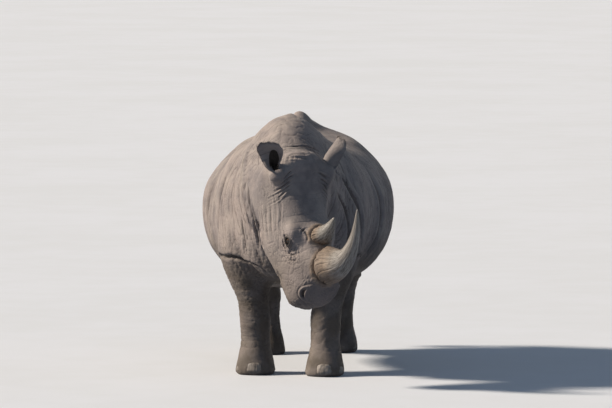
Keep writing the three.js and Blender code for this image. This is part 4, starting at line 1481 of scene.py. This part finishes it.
def rough_surface(wiring, surface, height, strength, distance):
    wired = {"Height": height, "Strength": strength, "Distance": distance}
    bump = wiring.node("ShaderNodeBump", wired)
    wiring.tree.links.new(bump.outputs["Normal"], surface.inputs["Normal"])


def colour_surface(wiring, surface, colour, roughness):
    wiring.tree.links.new(colour, surface.inputs["Base Color"])
    wiring.tree.links.new(roughness, surface.inputs["Roughness"])


def keratin_surface(wiring, surface, streaks, colour, dust, roughness, strength, distance):
    """The dust that lies on a horn or nail, and the relief of its fibres."""
    dusted = wiring.effect(DUST, where=wiring.here(), colour=colour, dust=DUST_TONE,
                           raised=streaks["Streaks"], amount=dust)
    colour_surface(wiring, surface, dusted["Colour"], roughness)
    rough_surface(wiring, surface, streaks["Height"], strength, distance)


def hide_material():
    """Dry, cracked, grey-tan hide: dust on its ridges, painted shade in valleys, creases and
    hollows, earth and painted shade low down.
    """
    material, surface, wiring = new_material("cracked_hide", 0.8)
    surface.inputs["Specular IOR Level"].default_value = 0.3
    where = wiring.here()
    colour = wiring.mottled(where, 1.9, HIDE_DARK, HIDE_LIGHT)
    lines = wiring.effect(DRY_CRACKS, where=where, size=42.0, width=0.12)
    raised = wiring.stored("raised")
    colour = wiring.cover(colour, CRACK_TONE, lines["Lines"], 0.2, 1.0, 0, 0.2)
    # painted shade in the valleys between ridges
    colour = wiring.cover(colour, VALLEY_SHADE_TONE, raised, -0.05, -0.7, 0, 0.62)
    # painted shade in the creases, wrinkles, nostrils and round the eyes
    colour = wiring.cover(colour, CREASE_SHADE_TONE, wiring.stored("crease_shade"), 0.15, 1.0, 0, 0.72)
    dusted = wiring.effect(DUST, where=where, colour=colour, dust=DUST_TONE, raised=raised,
                           amount=0.7)
    colour = dusted["Colour"]
    # earth and painted shade, darker towards the ground over the legs and belly
    height = wiring.node("ShaderNodeSeparateXYZ", {0: where}).outputs["Z"]
    earth_and_shade = wiring.times(wiring.ramp(height, 0.98, 0.6, 0, 0.88),
                            wiring.ramp(wiring.noise(where, 7.0, 4.0), 0.35, 0.6, 0.62, 1))
    colour = wiring.blend(earth_and_shade, colour, EARTH_AND_SHADE_TONE)
    colour = wiring.blend(wiring.times(wiring.stored("muzzle"), 0.8), colour, MUZZLE_TONE)
    ochre = wiring.mottled(where, 16.0, (0.19, 0.135, 0.095, 1), (0.37, 0.265, 0.175, 1))
    colour = wiring.cover(colour, ochre, wiring.stored("collar"), 0.1, 0.9, 0, 0.75)
    # painted shade: the ears' hollows and the lids' edges near black
    colour = wiring.cover(colour, HOLLOW_SHADE_TONE, wiring.stored("hollow"), 0.25, 0.9, 0, 0.97)
    roughness = wiring.ramp(lines["Height"], 0.2, 1.0, 0.92, 0.7)
    colour_surface(wiring, surface, colour, roughness)
    pebbles = wiring.noise(where, 110.0, 2.0)
    relief = wiring.math("ADD", lines["Height"], wiring.times(pebbles, 0.5))
    rough_surface(wiring, surface, relief, 0.42, 0.004)
    return material


def horn_material():
    """Keratin: an ochre frayed base, a paler worn shaft, dark streaks and a polished tip."""
    material, surface, wiring = new_material("fibrous_horn", 0.6)
    where, rise = wiring.here(), wiring.stored("rise")
    streaks = wiring.effect(FIBRES, fibre=wiring.stored("fibre", "Vector"), size=9.0)
    base = wiring.mottled(where, 9.0, (0.165, 0.118, 0.084, 1), (0.36, 0.262, 0.18, 1))
    shaft = wiring.cover((0.15, 0.132, 0.11, 1), (0.35, 0.312, 0.262, 1), streaks["Streaks"], 0, 1)
    colour = wiring.cover(base, shaft, rise, 0.22, 0.5)
    colour = wiring.cover(colour, (0.07, 0.055, 0.04, 1), streaks["Streaks"], 0.45, 0, 0, 0.22)
    roughness = wiring.ramp(rise, 0.2, 0.95, 0.82, 0.38)
    keratin_surface(wiring, surface, streaks, colour, 0.3, roughness, 0.45, 0.0045)
    return material


def nail_material():
    """Worn grey-brown toenails with upright streaks, chips and earth along the ground."""
    material, surface, wiring = new_material("worn_nail", 0.6)
    where, rise = wiring.here(), wiring.stored("rise")
    streaks = wiring.effect(FIBRES, fibre=wiring.stored("fibre", "Vector"), size=2.2)
    chips = wiring.effect(DRY_CRACKS, where=where, size=70.0, width=0.07)
    colour = wiring.mottled(where, 22.0, (0.15, 0.125, 0.105, 1), (0.33, 0.275, 0.22, 1))
    colour = wiring.cover(colour, (0.09, 0.075, 0.06, 1), streaks["Streaks"], 0, 1, 0.45, 0)
    colour = wiring.cover(colour, (0.06, 0.05, 0.04, 1), chips["Lines"], 0.4, 1, 0, 0.4)
    colour = wiring.cover(colour, EARTH_AND_SHADE_TONE, rise, 0.45, 0, 0, 0.7)
    roughness = wiring.ramp(rise, 0, 1, 0.85, 0.55)
    keratin_surface(wiring, surface, streaks, colour, 0.6, roughness, 0.5, 0.003)
    return material


def eye_material():
    """A dark brown iris round a wide pupil, wet and clear over all."""
    material, surface, wiring = new_material("wet_eye", 0.08)
    surface.inputs["Specular IOR Level"].default_value = 0.3
    surface.inputs["Coat Weight"].default_value = 0.5
    surface.inputs["Coat Roughness"].default_value = 0.03
    tilt, where = wiring.stored("tilt"), wiring.here()
    iris = wiring.mottled(where, 160.0, (0.03, 0.014, 0.007, 1), (0.11, 0.05, 0.022, 1))
    white = wiring.mottled(where, 90.0, (0.1, 0.07, 0.055, 1), (0.24, 0.18, 0.15, 1))
    colour = wiring.cover((0.002, 0.002, 0.002, 1), iris, tilt, 0.34, 0.42)
    colour = wiring.cover(colour, white, tilt, 0.72, 0.86)
    wiring.tree.links.new(colour, surface.inputs["Base Color"])
    return material


def hair_material(name, dark, light):
    """Stiff coarse hair, each strand its own tone, paler and drier towards its tip."""
    material, surface, wiring = new_material(name, 0.55)
    colour = wiring.blend(wiring.stored("strand"), dark, light)
    rise = wiring.stored("rise")
    colour = wiring.cover(colour, (0.2, 0.16, 0.12, 1), rise, 0.4, 1.0, 0, 0.5)
    colour_surface(wiring, surface, colour, wiring.ramp(rise, 0, 1, 0.5, 0.8))
    return material


def floor_material():
    """A pale, faintly clouded studio floor that throws little light back up."""
    material, surface, wiring = new_material("pale_floor", 0.8)
    tint = wiring.mottled(wiring.here(), 0.4, PALE_WALL, FLOOR_SHEEN)
    colour = wiring.blend(wiring.seen(), FLOOR_BOUNCE, tint)
    wiring.tree.links.new(colour, surface.inputs["Base Color"])
    return material


# ---------------------------------------------------------------- the whole animal

def place(mesh, name, material, slot, *nodes):
    """A finished piece: smooth, in its material, riding on the body, standing for its nodes."""
    smooth_faces(mesh)
    mesh.materials.clear()
    mesh.materials.append(material)
    thing = new_object(name, mesh)
    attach(thing, "root")
    if nodes:
        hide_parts(*nodes)


def build_hide():
    """One skin over all the flesh and the ears, folded, wrinkled and marked for its colours."""
    net = skin_over_flesh()
    form = Form(net)
    for near in (about_head, about_eyes):
        net = split_where(net, near)
    net, marks = join_ears(net)
    net.name = "hide"
    work = Hide(net, EAR_FIRM * marks["ear"])
    body_folds(work, form)
    head_folds(work, form)
    marks["collar"] = rim_round(work, HORNS, width=0.012, height=0.012)
    rim_round(work, NAILS, width=0.006, height=0.004)
    wrinkle(work)
    calm(work, nostril_beds(form), reach=0.058)
    calm(work, Head.eyes, reach=0.042)
    shape_nostrils(work, form)
    # painted shade at the lids' edges joins the ears' hollow shade
    marks["hollow"] = np.maximum(marks["hollow"], LID_SHADE * shape_eyelids(work))
    brow_creases(work, form)
    work.points[:, 2] = np.maximum(work.points[:, 2], 0)
    work.renew()
    mark_hide(work, marks)
    place(net, "hide", hide_material(), "hide", *FLESH, *EARS)
    return net


make_camera()
light_room()
make_floor()

skin = build_hide()
horn_look, nail_look, eye_look = horn_material(), nail_material(), eye_material()
for name in HORNS:
    place(horn_mesh(name), name + "_keratin", horn_look, "horn", name)
for name in NAILS:
    place(nail_mesh(name), name + "_keratin", nail_look, "nail", name)
lash_look = hair_material("lash_hair", (0.01, 0.008, 0.007, 1), (0.05, 0.04, 0.03, 1))
coarse_look = hair_material("coarse_hair", (0.012, 0.01, 0.009, 1), (0.07, 0.055, 0.042, 1))
for name in EYES:
    place(eye_mesh(name), name + "_ball", eye_look, "eye", name)
    place(eye_lashes(name), name + "_lashes", lash_look, "hide")
for name in EARS:
    place(ear_fringe(skin, name), name + "_fringe", coarse_look, "ear_hide")
place(tail_tuft(skin), "tail_tuft", coarse_look, "hide")
